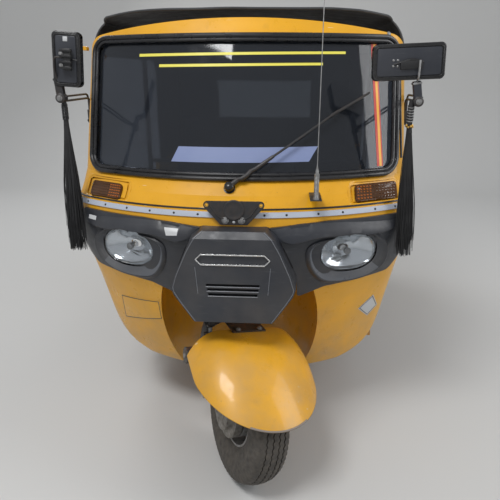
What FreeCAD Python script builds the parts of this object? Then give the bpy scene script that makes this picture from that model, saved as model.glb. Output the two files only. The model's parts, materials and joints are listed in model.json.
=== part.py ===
import FreeCAD, Part
import math
import os
from FreeCAD import Rotation, Vector

# An auto rickshaw with one steered front wheel and two driven rear wheels, in millimetres.
# x runs to the vehicle's left, z up from the floor, and y towards the tail, from the place
# where the steering axis crosses the height of the front axle.

# Whole vehicle
ORIGIN_Y = 1080.0            # half way along the vehicle, where the saved pieces have y = 0
WHEELBASE = 2000.0
TRACK = 1130.0
SEAT_GAP = 0.3               # play between pieces that seat on each other
RUNNING_GAP = 6.0            # play round pieces that move

# Wheels and tyres
TYRE_RADIUS = 270.0
TYRE_WIDTH = 135.0
CROWN_RADIUS = 110.0         # round of the tread across the tyre
SHOULDER_WIDTH = 58.0        # half, where tread and sidewall meet
RIM_RADIUS = 130.0
RIM_WIDTH = 104.0
RIM_WALL = 8.0
DISC_WALL = 7.0
DRUM_RADIUS = 92.0
HUB_RADIUS = 34.0
HUB_BORE = 12.0
HAND_HOLES = 8
HAND_HOLE_RADIUS = 9.0

# Steering head
RAKE = 18.0                  # degrees, its top leaning back
STEER_REST = 28.0            # degrees to the vehicle's left, as parked
STEER_STOP = 40.0            # degrees each way from straight ahead
AXLE_LEAD = 90.0             # front axle ahead of the steering axis
HEAD_LOW = 770.0
HEAD_HIGH = 930.0
HEAD_RADIUS = 34.0
STEM_RADIUS = 21.0
BAR_HEIGHT = 1030.0
BAR_RADIUS = 14.0
GRIP_RADIUS = 18.0
GRIP_LENGTH = 120.0

# Front wheel bay and its cab-side housing
BAY_RADIUS = 315.0
BAY_TOP = 748.0
BAY_WALL = 8.0

# Front sheet metal
COWL_WALL = 24.0
COWL_BACK = 500.0
COWL_LOW = 315.0
BELT_HEIGHT = 1077.0
PILLAR_DEPTH = 45.0          # of the screen pillars behind their round corner
PILLAR_WALL = 30.0
DASH_BACK = 235.0
POD_RADIUS = 55.0

# Rows: height, half width, nose y, bow radius, corner radius
COWL_ROWS = (
    (COWL_LOW, 470.0, 155.0, 800.0, 120.0),
    (430.0, 585.0, 100.0, 850.0, 120.0),
    (620.0, 622.0, 20.0, 850.0, 140.0),
    (800.0, 645.0, -40.0, 920.0, 145.0),
    (940.0, 652.0, -73.0, 1000.0, 130.0),
    (BELT_HEIGHT, 650.0, -50.0, 1080.0, 125.0),
)
SCREEN_ROWS = (
    (BELT_HEIGHT, 650.0, -50.0, 1080.0, 125.0),
    (1112.0, 650.0, 0.0, 1085.0, 122.0),
    (1160.0, 648.0, 44.0, 1090.0, 120.0),
    (1664.0, 640.0, 228.0, 1100.0, 110.0),
    (1728.0, 632.0, 267.0, 1100.0, 110.0),
)

# Windscreen
SCREEN_HALF = 604.0
SCREEN_LOW = 1160.0
SCREEN_HIGH = 1664.0
SCREEN_CORNER = 62.0
SEAL_WIDTH = 26.0
SEAL_PROUD = 5.0
SEAL_DEPTH = 16.0
GLASS_DEPTH = 6.0
GLASS_WALL = 6.0

# Front trim: proud of the skin and let into it
SURROUND_PROUD = 9.0
SURROUND_DEPTH = 16.0
TURN_LAMP_PROUD = 7.0
TURN_LAMP_DEPTH = 10.0
TURN_LAMP = (412.0, 606.0, 1082.0, 1144.0)       # inner and outer x, low and high z
STRIP_LOW = 1050.0
STRIP_HIGH = 1068.0
STRIP_HALF = 628.0
STRIP_WALL = 5.0

# Headlamps
LAMP_X = 412.0
LAMP_Y = 25.0
LAMP_Z = 905.0
LAMP_HALF_WIDTH = 110.0
LAMP_HALF_HEIGHT = 72.0
LAMP_DEPTH = 70.0
LENS_BULGE = 16.0
LAMP_TURN = 18.0             # degrees outward
POCKET_FLARE = 24.0

# Grille panel
GRILLE_FACE = -145.0
GRILLE_MIDDLE = 880.0        # height that the draft spreads from
GRILLE_DRAFT = 16.0
LEDGE_LOW = 995.0
LEDGE_DEPTH = 66.0
SLOT_DEPTH = 20.0
BADGE_HALF_WIDTH = 131.0
BADGE_HALF_HEIGHT = 21.0
BADGE_HEIGHT = 923.0
BADGE_RIM = 5.0
BADGE_PROUD = 4.0

# Rows: across and up from the middle, corner radius
GRILLE_OUTLINE = (
    (-110.0, 1018.0, 10.0),
    (110.0, 1018.0, 10.0),
    (147.0, 990.0, 14.0),
    (221.0, 822.0, 16.0),
    (210.0, 788.0, 14.0),
    (140.0, 685.0, 12.0),
    (-140.0, 685.0, 12.0),
    (-210.0, 788.0, 14.0),
    (-221.0, 822.0, 16.0),
    (-147.0, 990.0, 14.0),
)
# Rows: middle height, height, half width at the top
GRILLE_SLOTS = (
    (828.0, 9.0, 95.0),
    (811.0, 9.0, 92.0),
    (792.0, 11.0, 88.0),
)
# The black moulding round each headlamp, seen from the front: across, up, corner radius
SURROUND_OUTLINE = (
    (112.0, 1016.0, 8.0),
    (330.0, 1034.0, 60.0),
    (600.0, 1034.0, 20.0),
    (641.0, 1006.0, 16.0),
    (641.0, 862.0, 26.0),
    (588.0, 786.0, 40.0),
    (330.0, 766.0, 60.0),
    (228.0, 727.0, 10.0),
    (224.0, 812.0, 12.0),
)

# Front bracket, wiper and antenna
BRACKET_HALF_TOP = 123.0
BRACKET_HALF_LOW = 47.0
BRACKET_LOW = 1030.0
BRACKET_HIGH = 1114.0
BRACKET_Y = -83.0
BRACKET_REACH = 96.0         # of its bolts into the skin
BRACKET_WALL = 4.0
BRACKET_HOLE_X = 94.0
BRACKET_HOLE_Z = 1104.0
BRACKET_HOLE_RADIUS = 4.0
BRACKET_BOLT_X = 30.0
BRACKET_BOLT_Z = 1042.0
WIPER_PROUD = 16.0
WIPER_WALL = 8.0
WIPER_PIVOT = (-25.0, 1135.0)
WIPER_REACH = 120.0          # of its pivot's rod before it is trimmed to the skin
WIPER_ELBOW = (356.0, 1391.0)
WIPER_TIP = (476.0, 1454.0)
ANTENNA_X = 280.0
ANTENNA_LOW = 1122.0
ANTENNA_TOP = 1990.0
ANTENNA_ROD = 3.0
ANTENNA_BASE = 11.0
ANTENNA_BASE_HEIGHT = 100.0
ANTENNA_FOOT = 200.0         # length of its plate before it is trimmed to the skin

# Mirrors: side, head x, y, z, head half width and half height
MIRROR_ROWS = (
    (-1.0, 592.0, 60.0, 1573.0, 50.0, 91.0),
    (1.0, 577.0, 60.0, 1564.0, 119.0, 58.0),
)
MIRROR_ARM_X = 656.0
MIRROR_ARM_Z = 1440.0
MIRROR_FOOT_Y = 405.0
MIRROR_ARM_RADIUS = 7.0
MIRROR_DEPTH = 34.0
TASSEL_X = 660.0
TASSEL_TOP = MIRROR_ARM_Z - MIRROR_ARM_RADIUS - SEAT_GAP
TASSEL_LOW = 868.0
TASSEL_RADIUS = 55.0
TASSEL_NECK = 8.0

# Floor, sills and chassis
FLOOR_LOW = 322.0
FLOOR_WALL = 22.0
SILL_X = 604.0
SILL_WIDTH = 46.0
SILL_LOW = 312.0
SILL_HIGH = 430.0
RAIL_X = 300.0
RAIL_WIDTH = 50.0
RAIL_HEIGHT = 80.0
RAIL_FRONT = 480.0
RAIL_STEP = 1525.0
RAIL_REAR = 2375.0
REAR_RAIL_LOW = 345.0
REAR_RAIL_HEIGHT = 60.0
CROSS_STATIONS = (560.0, 1020.0, 1450.0, 1720.0, 2360.0)
CROSS_WIDTH = 50.0

# Rear body
TUB_FRONT = 1480.0
TUB_WALL = 22.0
DECK_FRONT = 2130.0
# Rows: height, half width, tail y, bow radius, corner radius
TUB_ROWS = (
    (345.0, 618.0, 2405.0, 2400.0, 110.0),
    (500.0, 660.0, 2452.0, 2500.0, 120.0),
    (800.0, 668.0, 2466.0, 2600.0, 130.0),
    (985.0, 656.0, 2440.0, 2600.0, 120.0),
)
ARCH_RADIUS = 304.0
ARCH_WALL = 8.0
WHEELHOUSE_X = 462.0

# Engine hatch in the tail
HATCH_HALF = 400.0
HATCH_LOW = 470.0
HATCH_HIGH = 868.0
HATCH_CORNER = 30.0
HATCH_WALL = 18.0
HINGE_Y = 2484.0
HINGE_Z = 882.0
HINGE_X = 250.0
HINGE_WIDTH = 60.0
PIN_RADIUS = 4.0
KNUCKLE_RADIUS = 8.0
LUG_WALL = 6.0
LOUVRES = 6
LOUVRE_START = 70.0
LOUVRE_PITCH = 26.0
LOUVRE_HALF = 180.0
LOUVRE_HEIGHT = 10.0

# Seats
BENCH_FRONT = 1500.0
BENCH_HIGH = 622.0
BENCH_WALL = 18.0
CUSHION_HEIGHT = 118.0
CUSHION_DEPTH = 450.0
CUSHION_HALF = 600.0
BACKREST_WALL = 95.0
BACKREST_HIGH = 1240.0
BACKREST_LEAN = 9.0
DRIVER_HALF = 255.0
DRIVER_FRONT = 800.0
DRIVER_BACK = 1140.0
DRIVER_BASE_HIGH = 590.0
DRIVER_CUSHION = 95.0
DRIVER_BACKREST_HIGH = 1080.0
DRIVER_BACKREST_WALL = 62.0

# Roof
CANOPY_WALL = 9.0
CANOPY_HALF = 646.0
CANOPY_CORNER = 92.0
CANOPY_CROWN = 3400.0
CANOPY_TOP = 1780.0
CANOPY_FRONT_TOP = 1752.0
CANOPY_SKIRT = 1600.0
CANOPY_QUARTER = 1570.0
CANOPY_TAIL = 2400.0
CANOPY_TAIL_TOP = 2340.0
CANOPY_TAIL_ROUND = 190.0
CANOPY_PEAK_Y = 1200.0
CANOPY_FRONT_Y = 245.0
CANOPY_BOW_END = 505.0       # where its front edge's bow ends at the sides
WINDOW_HALF = 360.0
WINDOW_LOW = 1190.0
WINDOW_HIGH = 1470.0
WINDOW_CORNER = 40.0
FRAME_TUBE = 13.0
HOOP_STATIONS = (1220.0, 2230.0)
HOOP_BEND = 110.0
HOOP_TOP = 1706.0
HOOP_SPREAD = 470.0          # height over which the front hoop's legs lean out
HOOP_X = CANOPY_HALF - CANOPY_WALL - SEAT_GAP - FRAME_TUBE
PARTITION_HEIGHTS = (760.0, 1040.0)
ROOF_RAIL_Z = 1628.0
ROOF_RAIL_FRONT = 500.0
HEADER_HALF = 642.0
HEADER_FOOT = 1585.0         # below it the pillars keep their own width
HEADER_TOP = 1722.0
HEADER_CORNER = 87.0
GUARD_TUBE = 10.0
GUARD_HEIGHTS = (560.0, 700.0, 840.0)
GUARD_POST = 130.0
GUARD_END_X = 650.0

# Tail
BUMPER_Y = 2478.0
BUMPER_Z = 400.0
BUMPER_HALF = 520.0
BUMPER_RADIUS = 19.0
TOW_RADIUS = 11.0
TOW_WALL = 12.0
TOW_DROP = 44.0
TAIL_LAMP_X = 540.0
TAIL_LAMP_Z = 735.0
TAIL_LAMP_PROUD = 18.0

# Front fender, in the steering's straight-ahead frame
FENDER_WALL = 5.0
FENDER_BACK = 20.0
# Rows: height, half width, lead of the nose, bow radius, corner radius
FENDER_ROWS = (
    (388.0, 246.0, 380.0, 251.0, 154.0),
    (453.0, 240.0, 310.0, 245.0, 154.0),
    (509.0, 217.0, 240.0, 225.0, 141.0),
    (551.0, 181.0, 175.0, 202.0, 116.0),
    (575.0, 111.0, 112.0, 166.0, 64.0),
)
FENDER_SLANT = 12.0          # degrees, the lower edge rising to the rear
FENDER_CARRIER = 70.0
FENDER_CARRIER_LEAD = 10.0
FENDER_CARRIER_BACK = 120.0
FENDER_CARRIER_WALL = 6.0

# Front suspension, on the vehicle's right of the wheel
LINK_INNER = 80.0
LINK_WALL = 24.0
LINK_PIVOT = (-132.0, 408.0)                     # lead and height
LINK_PIVOT_RADIUS = 34.0
LINK_PIVOT_OUTER = 200.0
LINK_HUB_RADIUS = 60.0
LINK_PIN = 11.0
LINK_HOLES = ((0.3, 13.0), (0.48, 17.0))         # share of the link's length and radius
LEG_X = 128.0
STEM_LOW = 620.0
SPRING_EYE = 26.0
HANGER_RADIUS = 11.0
SPRING_X = 140.0
SPRING_LOW = (34.0, 322.0)
SPRING_HIGH = (-60.0, 590.0)
SPRING_REACH = 62.0          # of the spring's hanger back to the leg
SPRING_RADIUS = 25.0
SPRING_WIRE = 5.0
SPRING_TURNS = 9
DAMPER_RADIUS = 16.0

# Engine and rear suspension
ENGINE = (-215.0, 215.0, 2010.0, 2330.0, 235.0, 560.0)
GEARBOX = (-120.0, 120.0, 1850.0, 2010.0, 225.0, 400.0)
ENGINE_MOUNT = (2100.0, 2160.0, 355.0, 395.0)    # front and rear y, low and high z
ARM_PIVOT = (1535.0, 285.0)
ARM_RADIUS = 24.0
ARM_X = 425.0
SHAFT_RADIUS = 16.0
SHOCK_TOP = 560.0
SHOCK_X = 395.0
SHOCK_PIN = 9.0
EXHAUST_Y = 2372.0
EXHAUST_Z = 286.0
EXHAUST_RADIUS = 42.0
EXHAUST_X = (-300.0, 90.0)
PIPE_RADIUS = 14.0


def box(x0, x1, y0, y1, z0, z1):
    """A block between two corners."""
    return Part.makeBox(x1 - x0, y1 - y0, z1 - z0, Vector(x0, y0, z0))


def rod(start, end, radius):
    """A round bar between two points."""
    line = Vector(*end) - Vector(*start)
    return Part.makeCylinder(radius, line.Length, Vector(*start), line)


def mirrored(shape):
    """The same shape on the other side of the vehicle."""
    return shape.mirror(Vector(0, 0, 0), Vector(1, 0, 0))


def pair(shape):
    """A piece and its mirror image in one node."""
    return Part.makeCompound([shape, mirrored(shape)])


def fused(shapes):
    """One solid from shapes that meet."""
    return shapes[0].multiFuse(shapes[1:]).removeSplitter()


def front_view(across, up):
    """Places an outline that is drawn as seen from the front."""
    return Vector(across, 0, up)


def corner_depth(half_width, nose, bow_radius, corner_radius):
    """How far back the middle of an outline's round corner lies."""
    reach = bow_radius - corner_radius
    return nose + bow_radius - math.sqrt(reach ** 2 - (half_width - corner_radius) ** 2)


def bow_wire(half_width, nose, bow_radius, corner_radius, back, place):
    """An outline with a wide bow, two round corners, straight sides and a straight back."""
    centre = nose + bow_radius
    corner_x = half_width - corner_radius
    corner_y = corner_depth(half_width, nose, bow_radius, corner_radius)
    lean = math.atan2(corner_x, centre - corner_y)
    join_x = bow_radius * math.sin(lean)
    join_y = centre - bow_radius * math.cos(lean)
    middle = (lean + math.pi / 2) / 2
    round_x = corner_x + corner_radius * math.sin(middle)
    round_y = corner_y - corner_radius * math.cos(middle)
    if back is None:
        back = corner_y + PILLAR_DEPTH
    edges = [
        Part.Arc(place(-join_x, join_y), place(0, nose), place(join_x, join_y)),
        Part.Arc(place(join_x, join_y), place(round_x, round_y), place(half_width, corner_y)),
        Part.LineSegment(place(half_width, corner_y), place(half_width, back)),
        Part.LineSegment(place(half_width, back), place(-half_width, back)),
        Part.LineSegment(place(-half_width, back), place(-half_width, corner_y)),
        Part.Arc(place(-half_width, corner_y), place(-round_x, round_y), place(-join_x, join_y)),
    ]
    return Part.Wire([edge.toShape() for edge in edges])


def rounded_wire(corners, place):
    """A closed outline through rows of across, up and corner radius."""
    points = [Vector(across, up, 0) for across, up, radius in corners]
    count = len(points)
    starts = []
    edges = []
    for i in range(count):
        before = (points[i - 1] - points[i]).normalize()
        after = (points[(i + 1) % count] - points[i]).normalize()
        half = math.acos(before.dot(after)) / 2
        radius = corners[i][2]
        run = radius / math.tan(half)
        inward = (before + after).normalize()
        middle = points[i] + inward * (radius / math.sin(half) - radius)
        starts.append((points[i] + before * run, middle, points[i] + after * run))
    for i in range(count):
        start, middle, end = (place(point.x, point.y) for point in starts[i])
        follow = starts[(i + 1) % count][0]
        edges.append(Part.Arc(start, middle, end).toShape())
        edges.append(Part.LineSegment(end, place(follow.x, follow.y)).toShape())
    return Part.Wire(edges)


def front_prism(corners, y0, y1):
    """An outline seen from the front, cut through from y0 to y1."""
    face = Part.Face(rounded_wire(corners, front_view))
    face.translate(Vector(0, y0, 0))
    return face.extrude(Vector(0, y1 - y0, 0))


def side_prism(corners, half_width):
    """An outline seen from the side, as rows of y, z and corner radius, cut through across."""
    def side_view(depth, up):
        return Vector(-half_width, depth, up)
    return Part.Face(rounded_wire(corners, side_view)).extrude(Vector(2 * half_width, 0, 0))


def round_rectangle(half_width, low, high, radius):
    """Corners of a rectangle that is centred across the vehicle."""
    return (
        (-half_width, low, radius),
        (half_width, low, radius),
        (half_width, high, radius),
        (-half_width, high, radius),
    )


def bent_tube(points, radius, bend):
    """A round bar along straight runs with one bend radius at each corner."""
    spots = [Vector(*point) for point in points]
    edges = []
    last = spots[0]
    for before, here, after in zip(spots, spots[1:], spots[2:]):
        to_before = (before - here).normalize()
        to_after = (after - here).normalize()
        half = to_before.getAngle(to_after) / 2
        run = bend / math.tan(half)
        inward = (to_before + to_after).normalize()
        middle = here + inward * (bend / math.sin(half) - bend)
        edges.append(Part.LineSegment(last, here + to_before * run).toShape())
        edges.append(Part.Arc(here + to_before * run, middle, here + to_after * run).toShape())
        last = here + to_after * run
    edges.append(Part.LineSegment(last, spots[-1]).toShape())
    profile = Part.Wire([Part.Circle(spots[0], spots[1] - spots[0], radius).toShape()])
    return Part.Wire(edges).makePipeShell([profile], True, True)


def bow_loft(rows, grow, back, ruled):
    """A solid through the plan sections of a table, each grown or shrunk by the same distance."""
    wires = []
    for height, half_width, nose, bow, corner in rows:
        def level(across, depth, height=height):
            return Vector(across, depth, height)
        wires.append(bow_wire(half_width + grow, nose - grow, bow + grow, corner + grow, back, level))
    return Part.makeLoft(wires, True, ruled)


def cowl_solid(grow):
    """The lower front form, from its foot to the belt line."""
    return bow_loft(COWL_ROWS, grow, COWL_BACK, False)


def screen_solid(grow):
    """The front form above the belt line, with the raked windscreen."""
    return bow_loft(SCREEN_ROWS, grow, None, True)


def tub_solid(grow):
    """The rear body's form, whose bow faces the tail."""
    wires = []
    for height, half_width, tail, bow, corner in TUB_ROWS:
        def level(across, depth, height=height):
            return Vector(across, -depth, height)
        wires.append(bow_wire(half_width + grow, -tail - grow, bow + grow, corner + grow,
                              -TUB_FRONT, level))
    return Part.makeLoft(wires, True, False)


# Steering geometry
STEER_AXIS = Vector(0, math.sin(math.radians(RAKE)), math.cos(math.radians(RAKE)))
WHEEL_LEAN = math.sin(math.radians(RAKE)) * math.sin(math.radians(STEER_REST))
AXLE_DROP = (AXLE_LEAD * STEER_AXIS.y * STEER_AXIS.z * (1 - math.cos(math.radians(STEER_REST))))
FRONT_AXLE_Z = ((TYRE_RADIUS - CROWN_RADIUS) * math.sqrt(1 - WHEEL_LEAN ** 2)
                + CROWN_RADIUS + AXLE_DROP)
STEER_POINT = Vector(0, 0, FRONT_AXLE_Z)
REAR_AXLE_Y = WHEELBASE - AXLE_LEAD


def steered(shape):
    """Turns a piece that is drawn straight ahead to where the parked steering has it."""
    turned = shape.copy()
    turned.rotate(STEER_POINT, STEER_AXIS, STEER_REST)
    return turned


def axis_point(height):
    """The place on the steering axis at a height."""
    return STEER_POINT + STEER_AXIS * ((height - FRONT_AXLE_Z) / STEER_AXIS.z)


def ahead(across, lead, height):
    """A point by its lead in front of the steering axis, drawn straight ahead."""
    return (across, -lead, height)


# Wheels
def tyre():
    """A tyre round the x axis at the origin, solid to the rim."""
    crown = TYRE_RADIUS - CROWN_RADIUS
    shoulder = crown + math.sqrt(CROWN_RADIUS ** 2 - SHOULDER_WIDTH ** 2)
    bead = RIM_WIDTH / 2 - RIM_WALL
    belly = (shoulder + RIM_RADIUS) / 2
    half = TYRE_WIDTH / 2
    spots = [Vector(x, 0, z) for x, z in (
        (-bead, RIM_RADIUS), (-half, belly), (-SHOULDER_WIDTH, shoulder), (0, TYRE_RADIUS),
        (SHOULDER_WIDTH, shoulder), (half, belly), (bead, RIM_RADIUS))]
    edges = [
        Part.Arc(spots[0], spots[1], spots[2]),
        Part.Arc(spots[2], spots[3], spots[4]),
        Part.Arc(spots[4], spots[5], spots[6]),
        Part.LineSegment(spots[6], spots[0]),
    ]
    face = Part.Face(Part.Wire([edge.toShape() for edge in edges]))
    return face.revolve(Vector(0, 0, 0), Vector(1, 0, 0), 360)


def wheel_rim():
    """A pressed steel rim round the x axis, its dished disc towards +x and its drum towards -x."""
    outer = RIM_RADIUS - SEAT_GAP
    inner = outer - RIM_WALL
    half = RIM_WIDTH / 2 - RIM_WALL
    barrel = Part.makeCylinder(outer, 2 * half, Vector(-half, 0, 0), Vector(1, 0, 0))
    barrel = barrel.cut(Part.makeCylinder(inner, 2 * half, Vector(-half, 0, 0), Vector(1, 0, 0)))
    dish = DISC_WALL * 2
    disc = Part.makeCylinder(inner, DISC_WALL, Vector(dish, 0, 0), Vector(1, 0, 0))
    for i in range(HAND_HOLES):
        angle = 2 * math.pi * i / HAND_HOLES
        reach = (DRUM_RADIUS + inner) / 2
        spot = Vector(0, reach * math.cos(angle), reach * math.sin(angle))
        disc = disc.cut(Part.makeCylinder(HAND_HOLE_RADIUS, 4 * dish, spot, Vector(1, 0, 0)))
    boss = Part.makeCone(DRUM_RADIUS * 0.7, HUB_RADIUS, dish, Vector(dish + DISC_WALL, 0, 0), Vector(1, 0, 0))
    drum = Part.makeCylinder(DRUM_RADIUS, dish + half, Vector(-half, 0, 0), Vector(1, 0, 0))
    bore = Part.makeCylinder(HUB_BORE, 6 * half, Vector(-3 * half, 0, 0), Vector(1, 0, 0))
    return fused([barrel, disc, boss, drum]).cut(bore)


def wheel_pair(side, centre):
    """A tyre and its rim at a wheel centre, the dish on the given side."""
    shapes = []
    for shape in (tyre(), wheel_rim()):
        if side < 0:
            shape = mirrored(shape)
        shape.translate(centre)
        shapes.append(shape)
    return shapes


# Front sheet metal
def bay_cylinder(radius, top):
    """The round space that the steered wheel sweeps, along the raked steering axis."""
    foot = axis_point(0)
    tall = Part.makeCylinder(radius, 2 * top, foot - STEER_AXIS * (top / 2), STEER_AXIS)
    reach = 2 * radius
    return tall.common(box(-reach, reach, -2 * reach, 2 * reach, 0, top))


def surround_prism(side):
    """The front-view footprint of one lamp moulding."""
    rows = [(side * across, up, radius) for across, up, radius in SURROUND_OUTLINE]
    return front_prism(rows, GRILLE_FACE * 3, COWL_BACK)


def front_cowl():
    """The lower front sheet metal, open behind and below, with the wheel bay cut away."""
    shell = cowl_solid(0).cut(cowl_solid(-COWL_WALL))
    shell = shell.cut(bay_cylinder(BAY_RADIUS, BAY_TOP))
    for side in (-1, 1):
        shell = shell.cut(surround_prism(side))
    return shell


def wheel_housing():
    """The drum over the front wheel inside the cab."""
    outer = bay_cylinder(BAY_RADIUS + BAY_WALL, BAY_TOP + BAY_WALL)
    drum = outer.cut(bay_cylinder(BAY_RADIUS, BAY_TOP))
    inside = cowl_solid(-COWL_WALL - SEAT_GAP).fuse(
        box(-BAY_RADIUS * 2, BAY_RADIUS * 2, COWL_BACK, COWL_BACK * 2, COWL_LOW, BELT_HEIGHT))
    drum = drum.common(inside)
    head = Part.makeCylinder(HEAD_RADIUS + RUNNING_GAP, HEAD_HIGH, axis_point(BAY_TOP / 2), STEER_AXIS)
    return drum.cut(head)


def screen_opening(half_width, low, high, corner):
    """A prism through the windscreen's opening."""
    return front_prism(round_rectangle(half_width, low, high, corner), -COWL_BACK, COWL_BACK * 2)


def header_form(grow):
    """The header's crown, seen from the front, cut through along the vehicle."""
    def level(across, depth):
        return Vector(across, -COWL_BACK, -depth)
    wire = bow_wire(HEADER_HALF + grow, -HEADER_TOP - grow, CANOPY_CROWN, HEADER_CORNER + grow,
                    -BELT_HEIGHT + SEAT_GAP, level)
    return Part.Face(wire).extrude(Vector(0, COWL_BACK * 3, 0))


def windscreen_surround():
    """Header, screen pillars and the band under the glass."""
    below = box(-HEADER_HALF * 2, HEADER_HALF * 2, -COWL_BACK, COWL_BACK * 2, 0, HEADER_FOOT)
    frame = screen_solid(0).cut(screen_solid(-PILLAR_WALL)).common(header_form(0).fuse(below))
    frame = frame.cut(screen_opening(SCREEN_HALF, SCREEN_LOW, SCREEN_HIGH, SCREEN_CORNER))
    return frame.cut(pair(turn_lamp_block(TURN_LAMP_PROUD, TURN_LAMP_DEPTH)))


def windscreen_seal():
    """The rubber round the glass."""
    ring = screen_opening(SCREEN_HALF - SEAT_GAP, SCREEN_LOW + SEAT_GAP, SCREEN_HIGH - SEAT_GAP,
                          SCREEN_CORNER - SEAT_GAP)
    ring = ring.cut(glass_prism(0))
    return screen_solid(SEAL_PROUD).cut(screen_solid(-SEAL_DEPTH)).common(ring)


def glass_prism(clearance):
    """A prism with the outline of the glass."""
    inset = SEAL_WIDTH + clearance
    return screen_opening(SCREEN_HALF - inset, SCREEN_LOW + inset, SCREEN_HIGH - inset,
                          SCREEN_CORNER - SEAL_WIDTH)


def windscreen_glass():
    """One bowed sheet of glass."""
    sheet = screen_solid(-GLASS_DEPTH).cut(screen_solid(-GLASS_DEPTH - GLASS_WALL))
    return sheet.common(glass_prism(SEAT_GAP))


# Front lamps and trim
def oval_wire(half_width, half_height, depth):
    """An oval of four arcs at a depth, standing in the xz plane."""
    end = half_height * 0.82
    flat = ((half_width - end) ** 2 + half_height ** 2 - end ** 2) / (2 * (half_height - end))
    reach = flat - end
    angle = math.asin((half_width - end) / reach)
    join_x = flat * math.sin(angle)
    join_z = flat * math.cos(angle) - (flat - half_height)
    edges = []
    for side in (1, -1):
        edges.append(Part.Arc(Vector(-side * join_x, depth, side * join_z),
                              Vector(0, depth, side * half_height),
                              Vector(side * join_x, depth, side * join_z)).toShape())
        edges.append(Part.Arc(Vector(side * join_x, depth, side * join_z),
                              Vector(side * half_width, depth, 0),
                              Vector(side * join_x, depth, -side * join_z)).toShape())
    return Part.Wire(edges)


def placed_lamp(shape, side):
    """Moves a lamp that is drawn facing -y at the origin to its place on one side."""
    placed = shape.copy()
    placed.rotate(Vector(0, 0, 0), Vector(0, 0, 1), side * LAMP_TURN)
    placed.translate(Vector(side * LAMP_X, LAMP_Y, LAMP_Z))
    return placed


def lamp_body(grow):
    """The oval drum of a headlamp, grown by a clearance."""
    face = Part.Face(oval_wire(LAMP_HALF_WIDTH + grow, LAMP_HALF_HEIGHT + grow, 0))
    return face.extrude(Vector(0, LAMP_DEPTH, 0))


def headlamp():
    """An oval lamp with a bulged lens, facing -y."""
    rows = ((1.0, 0.0), (0.86, 0.6), (0.55, 1.0))
    wires = [oval_wire(LAMP_HALF_WIDTH * share, LAMP_HALF_HEIGHT * share, -LENS_BULGE * rise)
             for share, rise in rows]
    return fused([lamp_body(0), Part.makeLoft(wires, True, True)])


def lamp_surround(side):
    """The black moulding on one side, with a flared pocket for the headlamp."""
    skin = cowl_solid(SURROUND_PROUD).cut(cowl_solid(-SURROUND_DEPTH))
    plate = skin.common(surround_prism(side))
    hole = lamp_body(SEAT_GAP)
    hole.translate(Vector(0, -SEAT_GAP, 0))
    flare = Part.makeLoft([
        oval_wire(LAMP_HALF_WIDTH + SEAT_GAP, LAMP_HALF_HEIGHT + SEAT_GAP, 0),
        oval_wire(LAMP_HALF_WIDTH + POCKET_FLARE * 2, LAMP_HALF_HEIGHT + POCKET_FLARE * 2,
                  -LAMP_DEPTH * 2)], True, True)
    plate = plate.cut(placed_lamp(fused([hole, flare]), side))
    return plate.cut(grille_block(SEAT_GAP))


def turn_lamp_block(proud, depth):
    """The amber corner lamp under the screen, on the vehicle's left."""
    inner, outer, low, high = TURN_LAMP
    slab = front_prism(((inner, low, 10.0), (outer, low, 10.0), (outer, high, 22.0), (inner, high, 10.0)),
                       -COWL_BACK, COWL_BACK)
    return screen_solid(proud).cut(screen_solid(-depth)).common(slab)


def turn_lamps():
    """Both amber corner lamps."""
    return pair(turn_lamp_block(TURN_LAMP_PROUD - SEAT_GAP, TURN_LAMP_DEPTH - SEAT_GAP))


def grille_block(grow):
    """The drafted block of the grille panel, before it is fitted to the cowl."""
    wires = []
    for depth, spread in ((GRILLE_FACE, grow), (COWL_BACK / 2, grow + GRILLE_DRAFT)):
        rows = [(across + math.copysign(spread, across), up + math.copysign(spread, up - GRILLE_MIDDLE), radius)
                for across, up, radius in GRILLE_OUTLINE]
        wire = rounded_wire(rows, front_view)
        wire.translate(Vector(0, depth, 0))
        wires.append(wire)
    return Part.makeLoft(wires, True, True)


def grille_panel():
    """The black nose panel: a ledge on top, a place for the badge and three slots."""
    panel = grille_block(0).cut(cowl_solid(SEAT_GAP))
    reach = BRACKET_HALF_TOP * 2
    ledge = Part.Face(Part.makePolygon([
        Vector(-reach, GRILLE_FACE - 1, LEDGE_LOW),
        Vector(-reach, GRILLE_FACE - 1, BELT_HEIGHT),
        Vector(-reach, GRILLE_FACE + LEDGE_DEPTH, BELT_HEIGHT),
        Vector(-reach, GRILLE_FACE - 1, LEDGE_LOW)])).extrude(Vector(2 * reach, 0, 0))
    panel = panel.cut(ledge)
    for middle, height, half_width in GRILLE_SLOTS:
        slot = front_prism((
            (-half_width, middle + height / 2, 2.0), (half_width, middle + height / 2, 2.0),
            (half_width - 3, middle - height / 2, 2.0), (-half_width + 3, middle - height / 2, 2.0)),
            GRILLE_FACE - 1, GRILLE_FACE + SLOT_DEPTH)
        panel = panel.cut(slot)
    return panel.cut(badge_prism(0, GRILLE_FACE - 1, GRILLE_FACE + BADGE_RIM))


def badge_prism(inset, y0, y1):
    """A long hexagon at the badge's height."""
    half = BADGE_HALF_WIDTH - inset
    tall = BADGE_HALF_HEIGHT - inset
    return front_prism((
        (-half, BADGE_HEIGHT, 3.0), (-half + tall, BADGE_HEIGHT + tall, 3.0),
        (half - tall, BADGE_HEIGHT + tall, 3.0), (half, BADGE_HEIGHT, 3.0),
        (half - tall, BADGE_HEIGHT - tall, 3.0), (-half + tall, BADGE_HEIGHT - tall, 3.0)), y0, y1)


def badge_frame():
    """The bright rim of the badge, let into the grille panel."""
    rim = badge_prism(SEAT_GAP, GRILLE_FACE - BADGE_PROUD, GRILLE_FACE + BADGE_RIM - SEAT_GAP)
    return rim.cut(badge_prism(BADGE_RIM, GRILLE_FACE - BADGE_PROUD * 2, GRILLE_FACE + BADGE_RIM * 2))


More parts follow.
